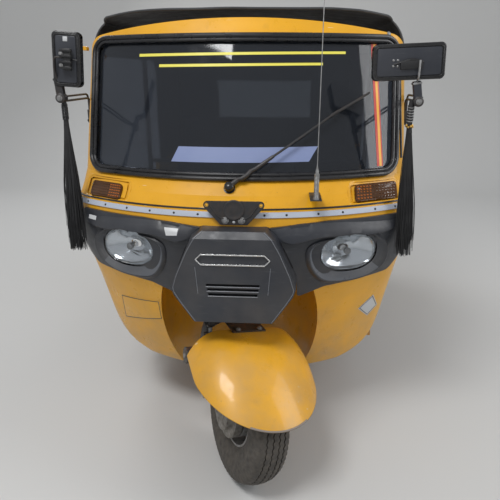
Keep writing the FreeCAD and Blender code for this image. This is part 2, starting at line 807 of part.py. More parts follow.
def trim_strip():
    """The bright strip along the front under the belt line."""
    band = box(-STRIP_HALF, STRIP_HALF, -COWL_BACK, COWL_BACK, STRIP_LOW, STRIP_HIGH)
    return cowl_solid(SEAT_GAP + STRIP_WALL).cut(cowl_solid(SEAT_GAP)).common(band)


def plate_bracket():
    """A bare trapezoid bracket, bolted on in the middle under the screen."""
    plate = front_prism((
        (-BRACKET_HALF_TOP, BRACKET_HIGH, 14.0), (BRACKET_HALF_TOP, BRACKET_HIGH, 14.0),
        (BRACKET_HALF_LOW, BRACKET_LOW, 3.0), (-BRACKET_HALF_LOW, BRACKET_LOW, 3.0)),
        BRACKET_Y, BRACKET_Y + BRACKET_WALL)
    for side in (-1, 1):
        spot = Vector(side * BRACKET_HOLE_X, BRACKET_Y - 1, BRACKET_HOLE_Z - BRACKET_HOLE_RADIUS)
        plate = plate.cut(Part.makeCylinder(BRACKET_HOLE_RADIUS, BRACKET_WALL * 2, spot, Vector(0, 1, 0)))
    bolts = [rod((side * BRACKET_BOLT_X, BRACKET_Y, BRACKET_BOLT_Z),
                 (side * BRACKET_BOLT_X, BRACKET_Y + BRACKET_REACH, BRACKET_BOLT_Z), BRACKET_HOLE_RADIUS * 2)
             for side in (-1, 1)]
    return fused([plate] + bolts).cut(cowl_solid(SEAT_GAP)).cut(trim_strip_block())


def trim_strip_block():
    """The room that the bright strip takes."""
    band = box(-STRIP_HALF, STRIP_HALF, -COWL_BACK, COWL_BACK, STRIP_LOW - SEAT_GAP, STRIP_HIGH + SEAT_GAP)
    return cowl_solid(STRIP_WALL + 2 * SEAT_GAP).common(band)


def arm_outline(start, end, start_half, end_half):
    """Front-view corners of a tapered bar between two points."""
    line = Vector(end[0] - start[0], end[1] - start[1], 0).normalize()
    side = Vector(-line.y, line.x, 0)
    rows = []
    for spot, half in ((start, start_half), (end, end_half), (end, -end_half), (start, -start_half)):
        rows.append((spot[0] + side.x * half, spot[1] + side.y * half, 1.5))
    return rows


def wiper():
    """The parked wiper: an arm from its pivot and a blade that follows the glass."""
    layer = screen_solid(WIPER_PROUD).cut(screen_solid(WIPER_PROUD - WIPER_WALL))
    arm = front_prism(arm_outline(WIPER_PIVOT, WIPER_ELBOW, 9.0, 4.0), -COWL_BACK, COWL_BACK)
    blade = front_prism(arm_outline(WIPER_ELBOW, WIPER_TIP, 8.0, 7.0), -COWL_BACK, COWL_BACK)
    across, up = WIPER_PIVOT
    pivot = rod((across, -WIPER_REACH, up), (across, WIPER_REACH, up), 11.0)
    boss = screen_solid(WIPER_PROUD + 4).cut(screen_solid(SEAT_GAP)).common(pivot)
    return fused([layer.common(arm), layer.common(blade), boss])


def antenna():
    """A rod antenna in its sprung base, on an angle bracket at the belt line."""
    foot = (ANTENNA_X, BRACKET_Y + ANTENNA_BASE, ANTENNA_LOW)
    top = (ANTENNA_X, foot[1], ANTENNA_TOP)
    base = rod(foot, (ANTENNA_X, foot[1], ANTENNA_LOW + ANTENNA_BASE_HEIGHT), ANTENNA_BASE)
    plate = box(ANTENNA_X - 2 * ANTENNA_BASE, ANTENNA_X + 2 * ANTENNA_BASE, BRACKET_Y,
                BRACKET_Y + ANTENNA_FOOT, ANTENNA_LOW - BRACKET_WALL, ANTENNA_LOW)
    plate = plate.cut(screen_solid(SEAT_GAP))
    return fused([base, rod(foot, top, ANTENNA_ROD), plate])


# Mirrors
def mirrors():
    """Both mirrors, each with a shell, a bent arm and a foot on the screen pillar."""
    shapes = []
    for side, head_x, head_y, head_z, half_width, half_height in MIRROR_ROWS:
        head = front_prism([(side * head_x + across, head_z + up, 24.0)
                            for across, up in ((-half_width, -half_height), (half_width, -half_height),
                                               (half_width, half_height), (-half_width, half_height))],
                           head_y, head_y + MIRROR_DEPTH)
        arm_y = head_y + MIRROR_DEPTH / 2
        arm_x = side * MIRROR_ARM_X
        arm = bent_tube(((side * head_x, arm_y, head_z), (side * head_x, arm_y, head_z - half_height - 24),
                         (arm_x, arm_y, MIRROR_ARM_Z), (arm_x, MIRROR_FOOT_Y, MIRROR_ARM_Z),
                         (arm_x, MIRROR_FOOT_Y, MIRROR_ARM_Z - 100)),
                        MIRROR_ARM_RADIUS, MIRROR_ARM_RADIUS * 1.5)
        foot = box(min(side * 600, arm_x), max(side * 600, arm_x), MIRROR_FOOT_Y - 14, MIRROR_FOOT_Y + 14,
                   MIRROR_ARM_Z - 110, MIRROR_ARM_Z - 60).cut(screen_solid(SEAT_GAP))
        shapes.append(fused([head, arm, foot]))
    return Part.makeCompound(shapes)


def tassel(side):
    """A hanging hair tassel under one mirror, as a plain closed form."""
    y = MIRROR_ROWS[0][2] + MIRROR_DEPTH / 2
    spots = [(0, TASSEL_TOP), (TASSEL_NECK, TASSEL_TOP), (TASSEL_NECK * 2.4, TASSEL_TOP - 90),
             (TASSEL_RADIUS * 0.8, (TASSEL_TOP + TASSEL_LOW) / 2 - 60), (TASSEL_RADIUS, TASSEL_LOW + 60),
             (TASSEL_RADIUS * 0.8, TASSEL_LOW), (0, TASSEL_LOW)]
    wire = Part.makePolygon([Vector(r, 0, z) for r, z in spots] + [Vector(0, 0, TASSEL_TOP)])
    solid = Part.Face(wire).revolve(Vector(0, 0, 0), Vector(0, 0, 1), 360)
    solid.translate(Vector(side * TASSEL_X, y + TASSEL_NECK, 0))
    return solid


# Floor and chassis
def floor_pan():
    """The floor with its raised sills, fitted round the wheel housing."""
    high = FLOOR_LOW + FLOOR_WALL
    front = cowl_solid(-COWL_WALL - SEAT_GAP).common(
        box(-SILL_X, SILL_X, 0, COWL_BACK, FLOOR_LOW, high))
    rear = box(-SILL_X, SILL_X, COWL_BACK, BENCH_FRONT - SEAT_GAP, FLOOR_LOW, high)
    sill = box(SILL_X - SILL_WIDTH, SILL_X, COWL_BACK + SEAT_GAP, TUB_FRONT - SEAT_GAP, SILL_LOW, SILL_HIGH)
    pan = fused([front, rear, sill, mirrored(sill)])
    return pan.cut(bay_cylinder(BAY_RADIUS + BAY_WALL + SEAT_GAP, BAY_TOP))


def chassis_frame():
    """Two long rails that step up over the rear axle, cross members and the shock towers."""
    low_top = FLOOR_LOW - SEAT_GAP
    low_floor = low_top - RAIL_HEIGHT
    high_floor = REAR_RAIL_LOW
    high_top = REAR_RAIL_LOW + REAR_RAIL_HEIGHT
    half = RAIL_WIDTH / 2
    side = fused([
        box(RAIL_X - half, RAIL_X + half, RAIL_FRONT, RAIL_STEP + CROSS_WIDTH, low_floor, low_top),
        box(RAIL_X - half, RAIL_X + half, RAIL_STEP, RAIL_STEP + CROSS_WIDTH, low_floor, high_top),
        box(RAIL_X - half, RAIL_X + half, RAIL_STEP, RAIL_REAR, high_floor, high_top),
        box(RAIL_X - half, RAIL_X + half, REAR_AXLE_Y - half, REAR_AXLE_Y + half, high_floor, SHOCK_TOP + 20),
        rod((RAIL_X, REAR_AXLE_Y, SHOCK_TOP), (SHOCK_X + SPRING_RADIUS, REAR_AXLE_Y, SHOCK_TOP), SHOCK_PIN),
    ])
    pieces = [side, mirrored(side)]
    for station in CROSS_STATIONS:
        low, high = (low_floor, low_top) if station < RAIL_STEP else (high_floor, high_top)
        pieces.append(box(-RAIL_X, RAIL_X, station - CROSS_WIDTH / 2, station + CROSS_WIDTH / 2,
                          low + 10, high - 10))
    tail_wall = tub_solid(SEAT_GAP).cut(tub_solid(-TUB_WALL - SEAT_GAP))
    return fused(pieces).cut(tail_wall)


def steering_head():
    """The head tube over the wheel bay, with a plate to the cowl and two stays to the floor."""
    low = axis_point(HEAD_LOW)
    tube = Part.makeCylinder(HEAD_RADIUS, HEAD_HIGH - HEAD_LOW, low, STEER_AXIS)
    bridge = box(-90, 90, GRILLE_FACE, low.y, HEAD_LOW + 30, HEAD_LOW + 110).cut(
        Part.makeCylinder(HEAD_RADIUS - 1, HEAD_HIGH, axis_point(BAY_TOP / 2), STEER_AXIS))
    bridge = bridge.common(cowl_solid(-COWL_WALL - SEAT_GAP))
    floor_high = FLOOR_LOW + FLOOR_WALL + SEAT_GAP
    stays = []
    for side in (-1, 1):
        foot_x = side * (RAIL_X + RAIL_WIDTH)
        stays.append(bent_tube(((side * HEAD_RADIUS * 0.7, low.y + HEAD_RADIUS, HEAD_LOW + 70),
                                (foot_x, COWL_BACK, HEAD_LOW + 20),
                                (foot_x, COWL_BACK + 40, FLOOR_LOW)), 14.0, 60.0))
    floor = box(-2 * RAIL_X, 2 * RAIL_X, COWL_BACK, COWL_BACK * 2, 0, floor_high)
    inside = Part.makeCylinder(STEM_RADIUS + SEAT_GAP, HEAD_HIGH, axis_point(BAY_TOP / 2), STEER_AXIS)
    return fused([tube, bridge] + stays).cut(floor).cut(inside)


def dashboard():
    """The tray under the windscreen with a round instrument pod."""
    tray = screen_solid(-PILLAR_WALL - SEAT_GAP).common(
        box(-SCREEN_HALF, SCREEN_HALF, GRILLE_FACE, DASH_BACK, BELT_HEIGHT + 20, BELT_HEIGHT + 52))
    pod = rod((0, DASH_BACK - 80, BELT_HEIGHT + 50), (0, DASH_BACK - 10, BELT_HEIGHT + 78), POD_RADIUS)
    return fused([tray, pod.cut(screen_solid(0).cut(screen_solid(-PILLAR_WALL - SEAT_GAP)))])


# Rear body
def wheelhouse(side, radius, inner_x, outer_x):
    """A drum over one rear wheel."""
    x0, x1 = sorted((side * inner_x, side * outer_x))
    return Part.makeCylinder(radius, x1 - x0, Vector(x0, REAR_AXLE_Y, TYRE_RADIUS), Vector(1, 0, 0))


def hatch_prism(grow):
    """The outline of the engine hatch through the tail."""
    rows = round_rectangle(HATCH_HALF + grow, HATCH_LOW - grow, HATCH_HIGH + grow, HATCH_CORNER)
    return front_prism(rows, CANOPY_TAIL_TOP - 40, CANOPY_TAIL + 200)


def rear_tub():
    """The rear body: side panels, tail, deck and wheelhouses, open in front and below."""
    deck = TUB_ROWS[-1][0]
    low = TUB_ROWS[0][0]
    wide = TUB_ROWS[2][1] + 60
    shell = tub_solid(0)
    inner = tub_solid(-TUB_WALL)
    shell = shell.cut(inner.common(box(-wide, wide, 0, DECK_FRONT, 0, deck)))
    shell = shell.cut(inner.common(box(-wide, wide, 0, CANOPY_TAIL * 2, 0, deck - TUB_WALL)))
    for side in (-1, 1):
        drum = wheelhouse(side, ARCH_RADIUS + ARCH_WALL, WHEELHOUSE_X, TUB_ROWS[0][1])
        drum = drum.common(box(-wide, wide, 0, CANOPY_TAIL, low, deck))
        shell = shell.fuse(drum).cut(wheelhouse(side, ARCH_RADIUS, WHEELHOUSE_X + ARCH_WALL, wide))
    shell = shell.cut(hatch_prism(RUNNING_GAP))
    lugs = []
    for side in (-1, 1):
        middle = side * HINGE_X
        for offset in (-1, 1):
            x = middle + offset * (HINGE_WIDTH / 2 + LUG_WALL / 2)
            lugs.append(box(x - LUG_WALL / 2, x + LUG_WALL / 2, HINGE_Y - 45, HINGE_Y + KNUCKLE_RADIUS,
                            HINGE_Z - KNUCKLE_RADIUS, HINGE_Z + KNUCKLE_RADIUS * 2))
        lugs.append(rod((middle - HINGE_WIDTH / 2, HINGE_Y, HINGE_Z),
                        (middle + HINGE_WIDTH / 2, HINGE_Y, HINGE_Z), PIN_RADIUS))
    return fused([shell] + lugs)


def engine_hatch():
    """The louvred lid over the engine, hinged along its top edge."""
    panel = tub_solid(0).cut(tub_solid(-HATCH_WALL)).common(hatch_prism(0))
    for i in range(LOUVRES):
        z = HATCH_LOW + LOUVRE_START + i * LOUVRE_PITCH
        rows = round_rectangle(LOUVRE_HALF, z, z + LOUVRE_HEIGHT, LOUVRE_HEIGHT * 0.45)
        panel = panel.cut(front_prism(rows, CANOPY_TAIL_TOP - 40, CANOPY_TAIL + 200))
    pieces = [panel]
    for side in (-1, 1):
        x0 = side * HINGE_X - HINGE_WIDTH / 2 + 1
        x1 = side * HINGE_X + HINGE_WIDTH / 2 - 1
        barrel = rod((x0, HINGE_Y, HINGE_Z), (x1, HINGE_Y, HINGE_Z), KNUCKLE_RADIUS)
        leaf = box(x0, x1, HINGE_Y - 60, HINGE_Y, HATCH_HIGH - 40, HATCH_HIGH - 4)
        strap = box(x0, x1, HINGE_Y - 6, HINGE_Y, HATCH_HIGH - 40, HINGE_Z)
        bore = rod((x0 - 1, HINGE_Y, HINGE_Z), (x1 + 1, HINGE_Y, HINGE_Z), PIN_RADIUS + SEAT_GAP)
        pieces.append(fused([barrel, strap, leaf.cut(tub_solid(-HATCH_WALL / 2))]).cut(bore))
    return fused(pieces)


def seat_bench():
    """The passenger bench: its front panel, its top and the bulkhead behind it."""
    wide = TUB_ROWS[2][1]
    back = DECK_FRONT - SEAT_GAP
    bench = fused([
        box(-wide, wide, BENCH_FRONT, BENCH_FRONT + BENCH_WALL, TUB_ROWS[0][0], BENCH_HIGH),
        box(-wide, wide, BENCH_FRONT, back, BENCH_HIGH - BENCH_WALL, BENCH_HIGH),
        box(-wide, wide, back - BENCH_WALL, back, BENCH_HIGH - BENCH_WALL, TUB_ROWS[-1][0] - 2),
    ])
    return bench.common(tub_solid(-TUB_WALL - SEAT_GAP))


def cushion(half_width, y0, y1, z0, z1, radius):
    """A soft block with round edges."""
    block = box(-half_width, half_width, y0, y1, z0, z1)
    return block.makeFillet(radius, block.Edges)


def passenger_cushion():
    """The bench cushion."""
    low = BENCH_HIGH + SEAT_GAP
    return cushion(CUSHION_HALF, BENCH_FRONT - 10, BENCH_FRONT + CUSHION_DEPTH, low, low + CUSHION_HEIGHT, 30.0)


def passenger_backrest():
    """The back cushion, leaning on the bulkhead's top edge."""
    low = BENCH_HIGH + CUSHION_HEIGHT / 3
    edge_y = DECK_FRONT - BENCH_WALL - 3 * SEAT_GAP
    edge_z = TUB_ROWS[-1][0]
    soft = cushion(CUSHION_HALF, edge_y - BACKREST_WALL, edge_y, low, BACKREST_HIGH, 30.0)
    soft.rotate(Vector(0, edge_y, edge_z), Vector(1, 0, 0), -BACKREST_LEAN)
    return soft


def driver_base():
    """The driver's seat box, standing on the floor."""
    low = FLOOR_LOW + FLOOR_WALL + SEAT_GAP
    half = DRIVER_HALF - 15
    block = box(-half, half, DRIVER_FRONT + 15, DRIVER_BACK, low, DRIVER_BASE_HIGH)
    upright = [edge for edge in block.Edges if abs(edge.tangentAt(0).z) > 0.9]
    return block.makeFillet(25.0, upright)


def driver_cushion():
    """The driver's seat cushion."""
    low = DRIVER_BASE_HIGH + SEAT_GAP
    return cushion(DRIVER_HALF, DRIVER_FRONT, DRIVER_BACK - 5, low, low + DRIVER_CUSHION, 26.0)


def driver_backrest():
    """The driver's back cushion, on the cross bar of the hoop behind it."""
    low = DRIVER_BASE_HIGH + DRIVER_CUSHION + 40
    back = HOOP_STATIONS[0] - FRAME_TUBE - SEAT_GAP
    return cushion(DRIVER_HALF, back - DRIVER_BACKREST_WALL, back, low, DRIVER_BACKREST_HIGH, 22.0)


# Roof
def canopy_form(inset):
    """The roof's form: its crown section along the vehicle, within its side outline."""
    def level(across, depth):
        return Vector(across, 0, -depth)
    low = TUB_ROWS[-1][0] + SEAT_GAP
    wire = bow_wire(CANOPY_HALF - inset, -CANOPY_TOP + inset, CANOPY_CROWN, CANOPY_CORNER - inset, -low, level)
    along = Part.Face(wire).extrude(Vector(0, CANOPY_TAIL * 2, 0))
    side = side_prism((
        (0.0, low, 1.0),
        (CANOPY_TAIL - inset, low, 1.0),
        (CANOPY_TAIL_TOP - inset, CANOPY_TOP - inset, CANOPY_TAIL_ROUND - inset),
        (CANOPY_PEAK_Y, CANOPY_TOP + 4 - inset, 600.0),
        (CANOPY_FRONT_Y, CANOPY_FRONT_TOP - 4 - inset, 20.0),
        (0.0, CANOPY_FRONT_TOP - 60 - inset, 1.0)), CANOPY_HALF + 60)
    return along.common(side)


def canopy_openings():
    """The open sides, and the room of the header under the roof's front edge."""
    wide = CANOPY_HALF + 60
    height, half_width, nose, bow, corner = SCREEN_ROWS[-1]
    header_back = corner_depth(half_width, nose, bow, corner) + PILLAR_DEPTH
    header = header_form(SEAT_GAP).common(box(-wide, wide, -COWL_BACK, header_back, BELT_HEIGHT, CANOPY_TOP))
    sides = side_prism((
        (header_back - 100, BELT_HEIGHT - 100, 1.0),
        (CANOPY_QUARTER, BELT_HEIGHT - 100, 1.0),
        (CANOPY_QUARTER, CANOPY_SKIRT, 90.0),
        (header_back - 100, CANOPY_SKIRT, 1.0)), wide)
    return header.fuse(sides)


def window_prism(inset):
    """The tail window's outline through the tail wall."""
    rows = round_rectangle(WINDOW_HALF - inset, WINDOW_LOW + inset, WINDOW_HIGH - inset, WINDOW_CORNER - inset)
    return front_prism(rows, CANOPY_TAIL_TOP - 200, CANOPY_TAIL + 50)


def roof_canopy():
    """The soft top: roof, tail wall and rear quarters, with open sides and a tail window."""
    shell = canopy_form(0).cut(canopy_form(CANOPY_WALL))
    plan = SCREEN_ROWS[-1][1:]
    bow = bow_loft(((BELT_HEIGHT - 200,) + plan, (CANOPY_TOP + 60,) + plan), 2.0, CANOPY_TAIL * 2, True)
    wide = box(-CANOPY_HALF - 60, CANOPY_HALF + 60, CANOPY_BOW_END, CANOPY_TAIL * 2, 0, CANOPY_TOP + 60)
    return shell.common(bow.fuse(wide)).cut(canopy_openings()).cut(window_prism(0))


def rear_window():
    """The clear sheet in the tail wall."""
    film = canopy_form(3.0).cut(canopy_form(CANOPY_WALL - 2.0))
    return film.common(window_prism(SEAT_GAP))


def hoop_leg_x(height):
    """Half the width between the legs of the front hoop, which lean out to the roof."""
    foot = SILL_X - SILL_WIDTH / 2
    share = min(1.0, (height - SILL_LOW) / (SILL_HIGH + HOOP_SPREAD - SILL_LOW))
    return foot + (HOOP_X - foot) * share


def roof_frame():
    """The tube frame under the soft top: two hoops, side rails and the bar behind the driver."""
    front, rear = HOOP_STATIONS
    sill = SILL_HIGH + SEAT_GAP
    deck = TUB_ROWS[-1][0] + SEAT_GAP
    foot = SILL_X - SILL_WIDTH / 2
    high = SILL_HIGH + HOOP_SPREAD
    pieces = [
        bent_tube(((-foot, front, SILL_LOW), (-HOOP_X, front, high), (-HOOP_X, front, HOOP_TOP),
                   (HOOP_X, front, HOOP_TOP), (HOOP_X, front, high), (foot, front, SILL_LOW)),
                  FRAME_TUBE, HOOP_BEND),
        bent_tube(((-HOOP_X, rear, deck), (-HOOP_X, rear, HOOP_TOP), (HOOP_X, rear, HOOP_TOP),
                   (HOOP_X, rear, deck)), FRAME_TUBE, HOOP_BEND),
    ]
    for height in PARTITION_HEIGHTS:
        reach = hoop_leg_x(height)
        pieces.append(rod((-reach, front, height), (reach, front, height), FRAME_TUBE))
    for side in (-1, 1):
        rail = rod((side * HOOP_X, ROOF_RAIL_FRONT, ROOF_RAIL_Z), (side * HOOP_X, rear, ROOF_RAIL_Z), FRAME_TUBE)
        pieces.append(rail.cut(screen_solid(0)))
    below = box(-CANOPY_HALF, CANOPY_HALF, front - HOOP_BEND, front + HOOP_BEND, 0, sill)
    return fused(pieces).cut(below)


def side_guard():
    """Three bars that close the entry on the vehicle's right, from the hoop to the rear body."""
    bars = []
    post_y = HOOP_STATIONS[0] + GUARD_POST
    for height in GUARD_HEIGHTS:
        start = (-hoop_leg_x(height), HOOP_STATIONS[0] + FRAME_TUBE + SEAT_GAP, height)
        bars.append(rod(start, (-GUARD_END_X, TUB_FRONT + GUARD_TUBE, height), GUARD_TUBE))
    low, high = GUARD_HEIGHTS[0], GUARD_HEIGHTS[-1]
    middle = (hoop_leg_x(high) + GUARD_END_X) / 2
    bars.append(rod((-middle, post_y, low), (-middle, post_y, high), GUARD_TUBE))
    tub = box(-2 * GUARD_END_X, 0, TUB_FRONT - SEAT_GAP, DECK_FRONT, 0, BELT_HEIGHT)
    return fused(bars).cut(tub)


# Tail
def rear_bumper():
    """A tube bumper on two stand-offs, with a towing eye in the middle."""
    bar = bent_tube(((-BUMPER_HALF, BUMPER_Y - 70, BUMPER_Z), (-BUMPER_HALF + 60, BUMPER_Y, BUMPER_Z),
                     (BUMPER_HALF - 60, BUMPER_Y, BUMPER_Z), (BUMPER_HALF, BUMPER_Y - 70, BUMPER_Z)),
                    BUMPER_RADIUS, 50.0)
    pieces = [bar]
    for side in (-1, 1):
        pieces.append(rod((side * RAIL_X, BUMPER_Y - 100, BUMPER_Z), (side * RAIL_X, BUMPER_Y, BUMPER_Z),
                          BUMPER_RADIUS * 0.7))
    eye_z = BUMPER_Z - TOW_DROP
    eye = fused([
        Part.makeCylinder(TOW_RADIUS * 2.4, TOW_WALL, Vector(-TOW_WALL / 2, BUMPER_Y, eye_z), Vector(1, 0, 0)),
        box(-TOW_WALL / 2, TOW_WALL / 2, BUMPER_Y - TOW_RADIUS, BUMPER_Y + TOW_RADIUS, eye_z, BUMPER_Z)])
    hole = Part.makeCylinder(TOW_RADIUS, TOW_WALL * 3, Vector(-TOW_WALL * 1.5, BUMPER_Y, eye_z), Vector(1, 0, 0))
    return fused(pieces + [eye]).cut(hole).cut(tub_solid(SEAT_GAP))


def tail_lamps():
    """The red lamps on the tail's corners."""
    block = box(TAIL_LAMP_X - 48, TAIL_LAMP_X + 48, 2000, 2600, TAIL_LAMP_Z - 60, TAIL_LAMP_Z + 60)
    return pair(tub_solid(TAIL_LAMP_PROUD).cut(tub_solid(SEAT_GAP)).common(block))


# Wheels' carriers, engine and exhaust
def coil_over(low, high, eye_radius):
    """A damper with its coil, between two eyes whose pins lie along x."""
    start, end = Vector(*low), Vector(*high)
    line = (end - start).normalize()
    span = (end - start).Length
    inset = line * (eye_radius + 2)
    pieces = [rod(start + inset, end - inset, DAMPER_RADIUS)]
    coil_start = span * 0.2
    pitch = (span - 2 * coil_start) / (SPRING_TURNS - 1)
    for i in range(SPRING_TURNS):
        place = start + line * (coil_start + i * pitch - SPRING_WIRE)
        pieces.append(Part.makeCylinder(SPRING_RADIUS, 2 * SPRING_WIRE, place, line))
    for place in (coil_start - pitch, span - coil_start + pitch / 2):
        pieces.append(Part.makeCylinder(SPRING_RADIUS, pitch / 2, start + line * place, line))
    bores = []
    for spot in (start, end):
        eye = Vector(spot.x - SPRING_EYE / 2, spot.y, spot.z)
        pieces.append(Part.makeCylinder(eye_radius + 9, SPRING_EYE, eye, Vector(1, 0, 0)))
        bores.append(Part.makeCylinder(eye_radius + SEAT_GAP, SPRING_EYE * 3,
                                       eye - Vector(SPRING_EYE, 0, 0), Vector(1, 0, 0)))
    solid = fused(pieces)
    for bore in bores:
        solid = solid.cut(bore)
    return solid


def rear_arms():
    """The trailing arms with the rear wheels' spindles and brake plates."""
    pivot_y, pivot_z = ARM_PIVOT
    rail_side = RAIL_X + RAIL_WIDTH / 2 + SEAT_GAP
    wheel_x = TRACK / 2
    plate_x = wheel_x - RIM_WIDTH / 2
    arm = fused([
        rod((rail_side, pivot_y, pivot_z), (rail_side + 46, pivot_y, pivot_z), ARM_RADIUS * 1.25),
        bent_tube(((rail_side + 23, pivot_y, pivot_z), (ARM_X, pivot_y + 170, TYRE_RADIUS + 8),
                   (ARM_X, REAR_AXLE_Y, TYRE_RADIUS)), ARM_RADIUS, 120.0),
        rod((ARM_X - 30, REAR_AXLE_Y, TYRE_RADIUS), (ARM_X + 30, REAR_AXLE_Y, TYRE_RADIUS), ARM_RADIUS * 1.4),
        rod((ARM_X, REAR_AXLE_Y, TYRE_RADIUS), (wheel_x + RIM_WIDTH / 2, REAR_AXLE_Y, TYRE_RADIUS),
            HUB_BORE - SEAT_GAP),
        rod((plate_x - 24, REAR_AXLE_Y, TYRE_RADIUS), (plate_x, REAR_AXLE_Y, TYRE_RADIUS), DRUM_RADIUS),
        rod((SHOCK_X - SPRING_RADIUS, REAR_AXLE_Y, TYRE_RADIUS + 60),
            (SHOCK_X + SPRING_RADIUS, REAR_AXLE_Y, TYRE_RADIUS + 60), SHOCK_PIN),
        box(ARM_X - 8, ARM_X + 4, REAR_AXLE_Y - 18, REAR_AXLE_Y + 18, TYRE_RADIUS, TYRE_RADIUS + 72),
    ])
    return pair(arm)


def rear_shocks():
    """The coil-over dampers between the rear arms and the shock towers."""
    x = SHOCK_X - 6
    return pair(coil_over((x, REAR_AXLE_Y, TYRE_RADIUS + 60), (x, REAR_AXLE_Y, SHOCK_TOP), SHOCK_PIN))


def engine_block():
    """Engine and gearbox as one plain block, with its mounts and the half shafts."""
    x_low, x_high, y_low, y_high, z_low, z_high = ENGINE
    mount_front, mount_back, mount_low, mount_high = ENGINE_MOUNT
    reach = RAIL_X - RAIL_WIDTH / 2 - SEAT_GAP
    shaft_end = ARM_X - 30 - SEAT_GAP
    return fused([
        box(*ENGINE),
        box(*GEARBOX),
        box(-reach, reach, mount_front, mount_back, mount_low, mount_high),
        rod((-shaft_end, REAR_AXLE_Y, TYRE_RADIUS), (shaft_end, REAR_AXLE_Y, TYRE_RADIUS), SHAFT_RADIUS),
    ])


def exhaust():
    """The silencer across the tail, hung from the last cross member, with its pipes."""
    left, right = EXHAUST_X
    hang = REAR_RAIL_LOW + 10 - SEAT_GAP
    return fused([
        rod((left, EXHAUST_Y, EXHAUST_Z), (right, EXHAUST_Y, EXHAUST_Z), EXHAUST_RADIUS),
        rod((left / 3, ENGINE[3] + SEAT_GAP, EXHAUST_Z), (left / 3, EXHAUST_Y, EXHAUST_Z), PIPE_RADIUS),
        rod((left + 30, EXHAUST_Y, EXHAUST_Z), (left + 30, BUMPER_Y, EXHAUST_Z - 10), PIPE_RADIUS),
        box(left * 0.6, left * 0.6 + 30, EXHAUST_Y - 20, EXHAUST_Y, EXHAUST_Z, hang),
        box(right * 0.5, right * 0.5 + 30, EXHAUST_Y - 20, EXHAUST_Y, EXHAUST_Z, hang),
    ])


# What turns with the steering, drawn straight ahead
def steering_column():
    """The stem with its handlebar, the fender's carrier and the cranked leg to the link's pivot."""
    back = Vector(0, STEER_AXIS.z, -STEER_AXIS.y)
    centre = axis_point(BAR_HEIGHT)
    ends = []
    for across, setback in ((-300, 200), (-150, 34), (150, 34), (300, 200)):
        ends.append(centre + Vector(across, 0, 0) + back * setback)
    grips = []
    for end, elbow in ((ends[0], ends[1]), (ends[3], ends[2])):
        toward = (elbow - end).normalize()
        grips.append(rod(end, end + toward * GRIP_LENGTH, GRIP_RADIUS))
    riser = rod(centre, centre + back * 34, BAR_RADIUS * 1.3)
    pivot_lead, pivot_z = LINK_PIVOT
    low = axis_point(STEM_LOW)
    leg = bent_tube((low + STEER_AXIS * 60, low, ahead(-LEG_X, -low.y, STEM_LOW - 60),
                     ahead(-LEG_X, pivot_lead, pivot_z)), STEM_RADIUS, 34.0)
    housing = rod(ahead(-LINK_INNER - LINK_WALL - SEAT_GAP, pivot_lead, pivot_z),
                  ahead(-LINK_PIVOT_OUTER, pivot_lead, pivot_z), LINK_PIVOT_RADIUS)
    bore = rod(ahead(0, pivot_lead, pivot_z), ahead(-LINK_PIVOT_OUTER * 2, pivot_lead, pivot_z),
               LINK_PIN + SEAT_GAP)
    spring_lead, spring_z = SPRING_HIGH
    hanger_x = -SPRING_X + SPRING_EYE / 2 + HANGER_RADIUS + 4
    hanger = rod(ahead(hanger_x, spring_lead - SPRING_REACH, spring_z),
                 ahead(hanger_x, spring_lead, spring_z), HANGER_RADIUS)
    hook = rod(ahead(-SPRING_X - SPRING_EYE, spring_lead, spring_z),
               ahead(hanger_x, spring_lead, spring_z), SHOCK_PIN)
    carrier = box(-FENDER_CARRIER, FENDER_CARRIER, -FENDER_CARRIER_LEAD, FENDER_CARRIER_BACK,
                  FENDER_ROWS[-1][0] + SEAT_GAP, FENDER_ROWS[-1][0] + SEAT_GAP + FENDER_CARRIER_WALL)
    return fused([rod(low + STEER_AXIS * 55, centre + STEER_AXIS * 16, STEM_RADIUS), leg, riser,
                  bent_tube(ends, BAR_RADIUS, 70.0), housing, hanger, hook, carrier] + grips).cut(bore)


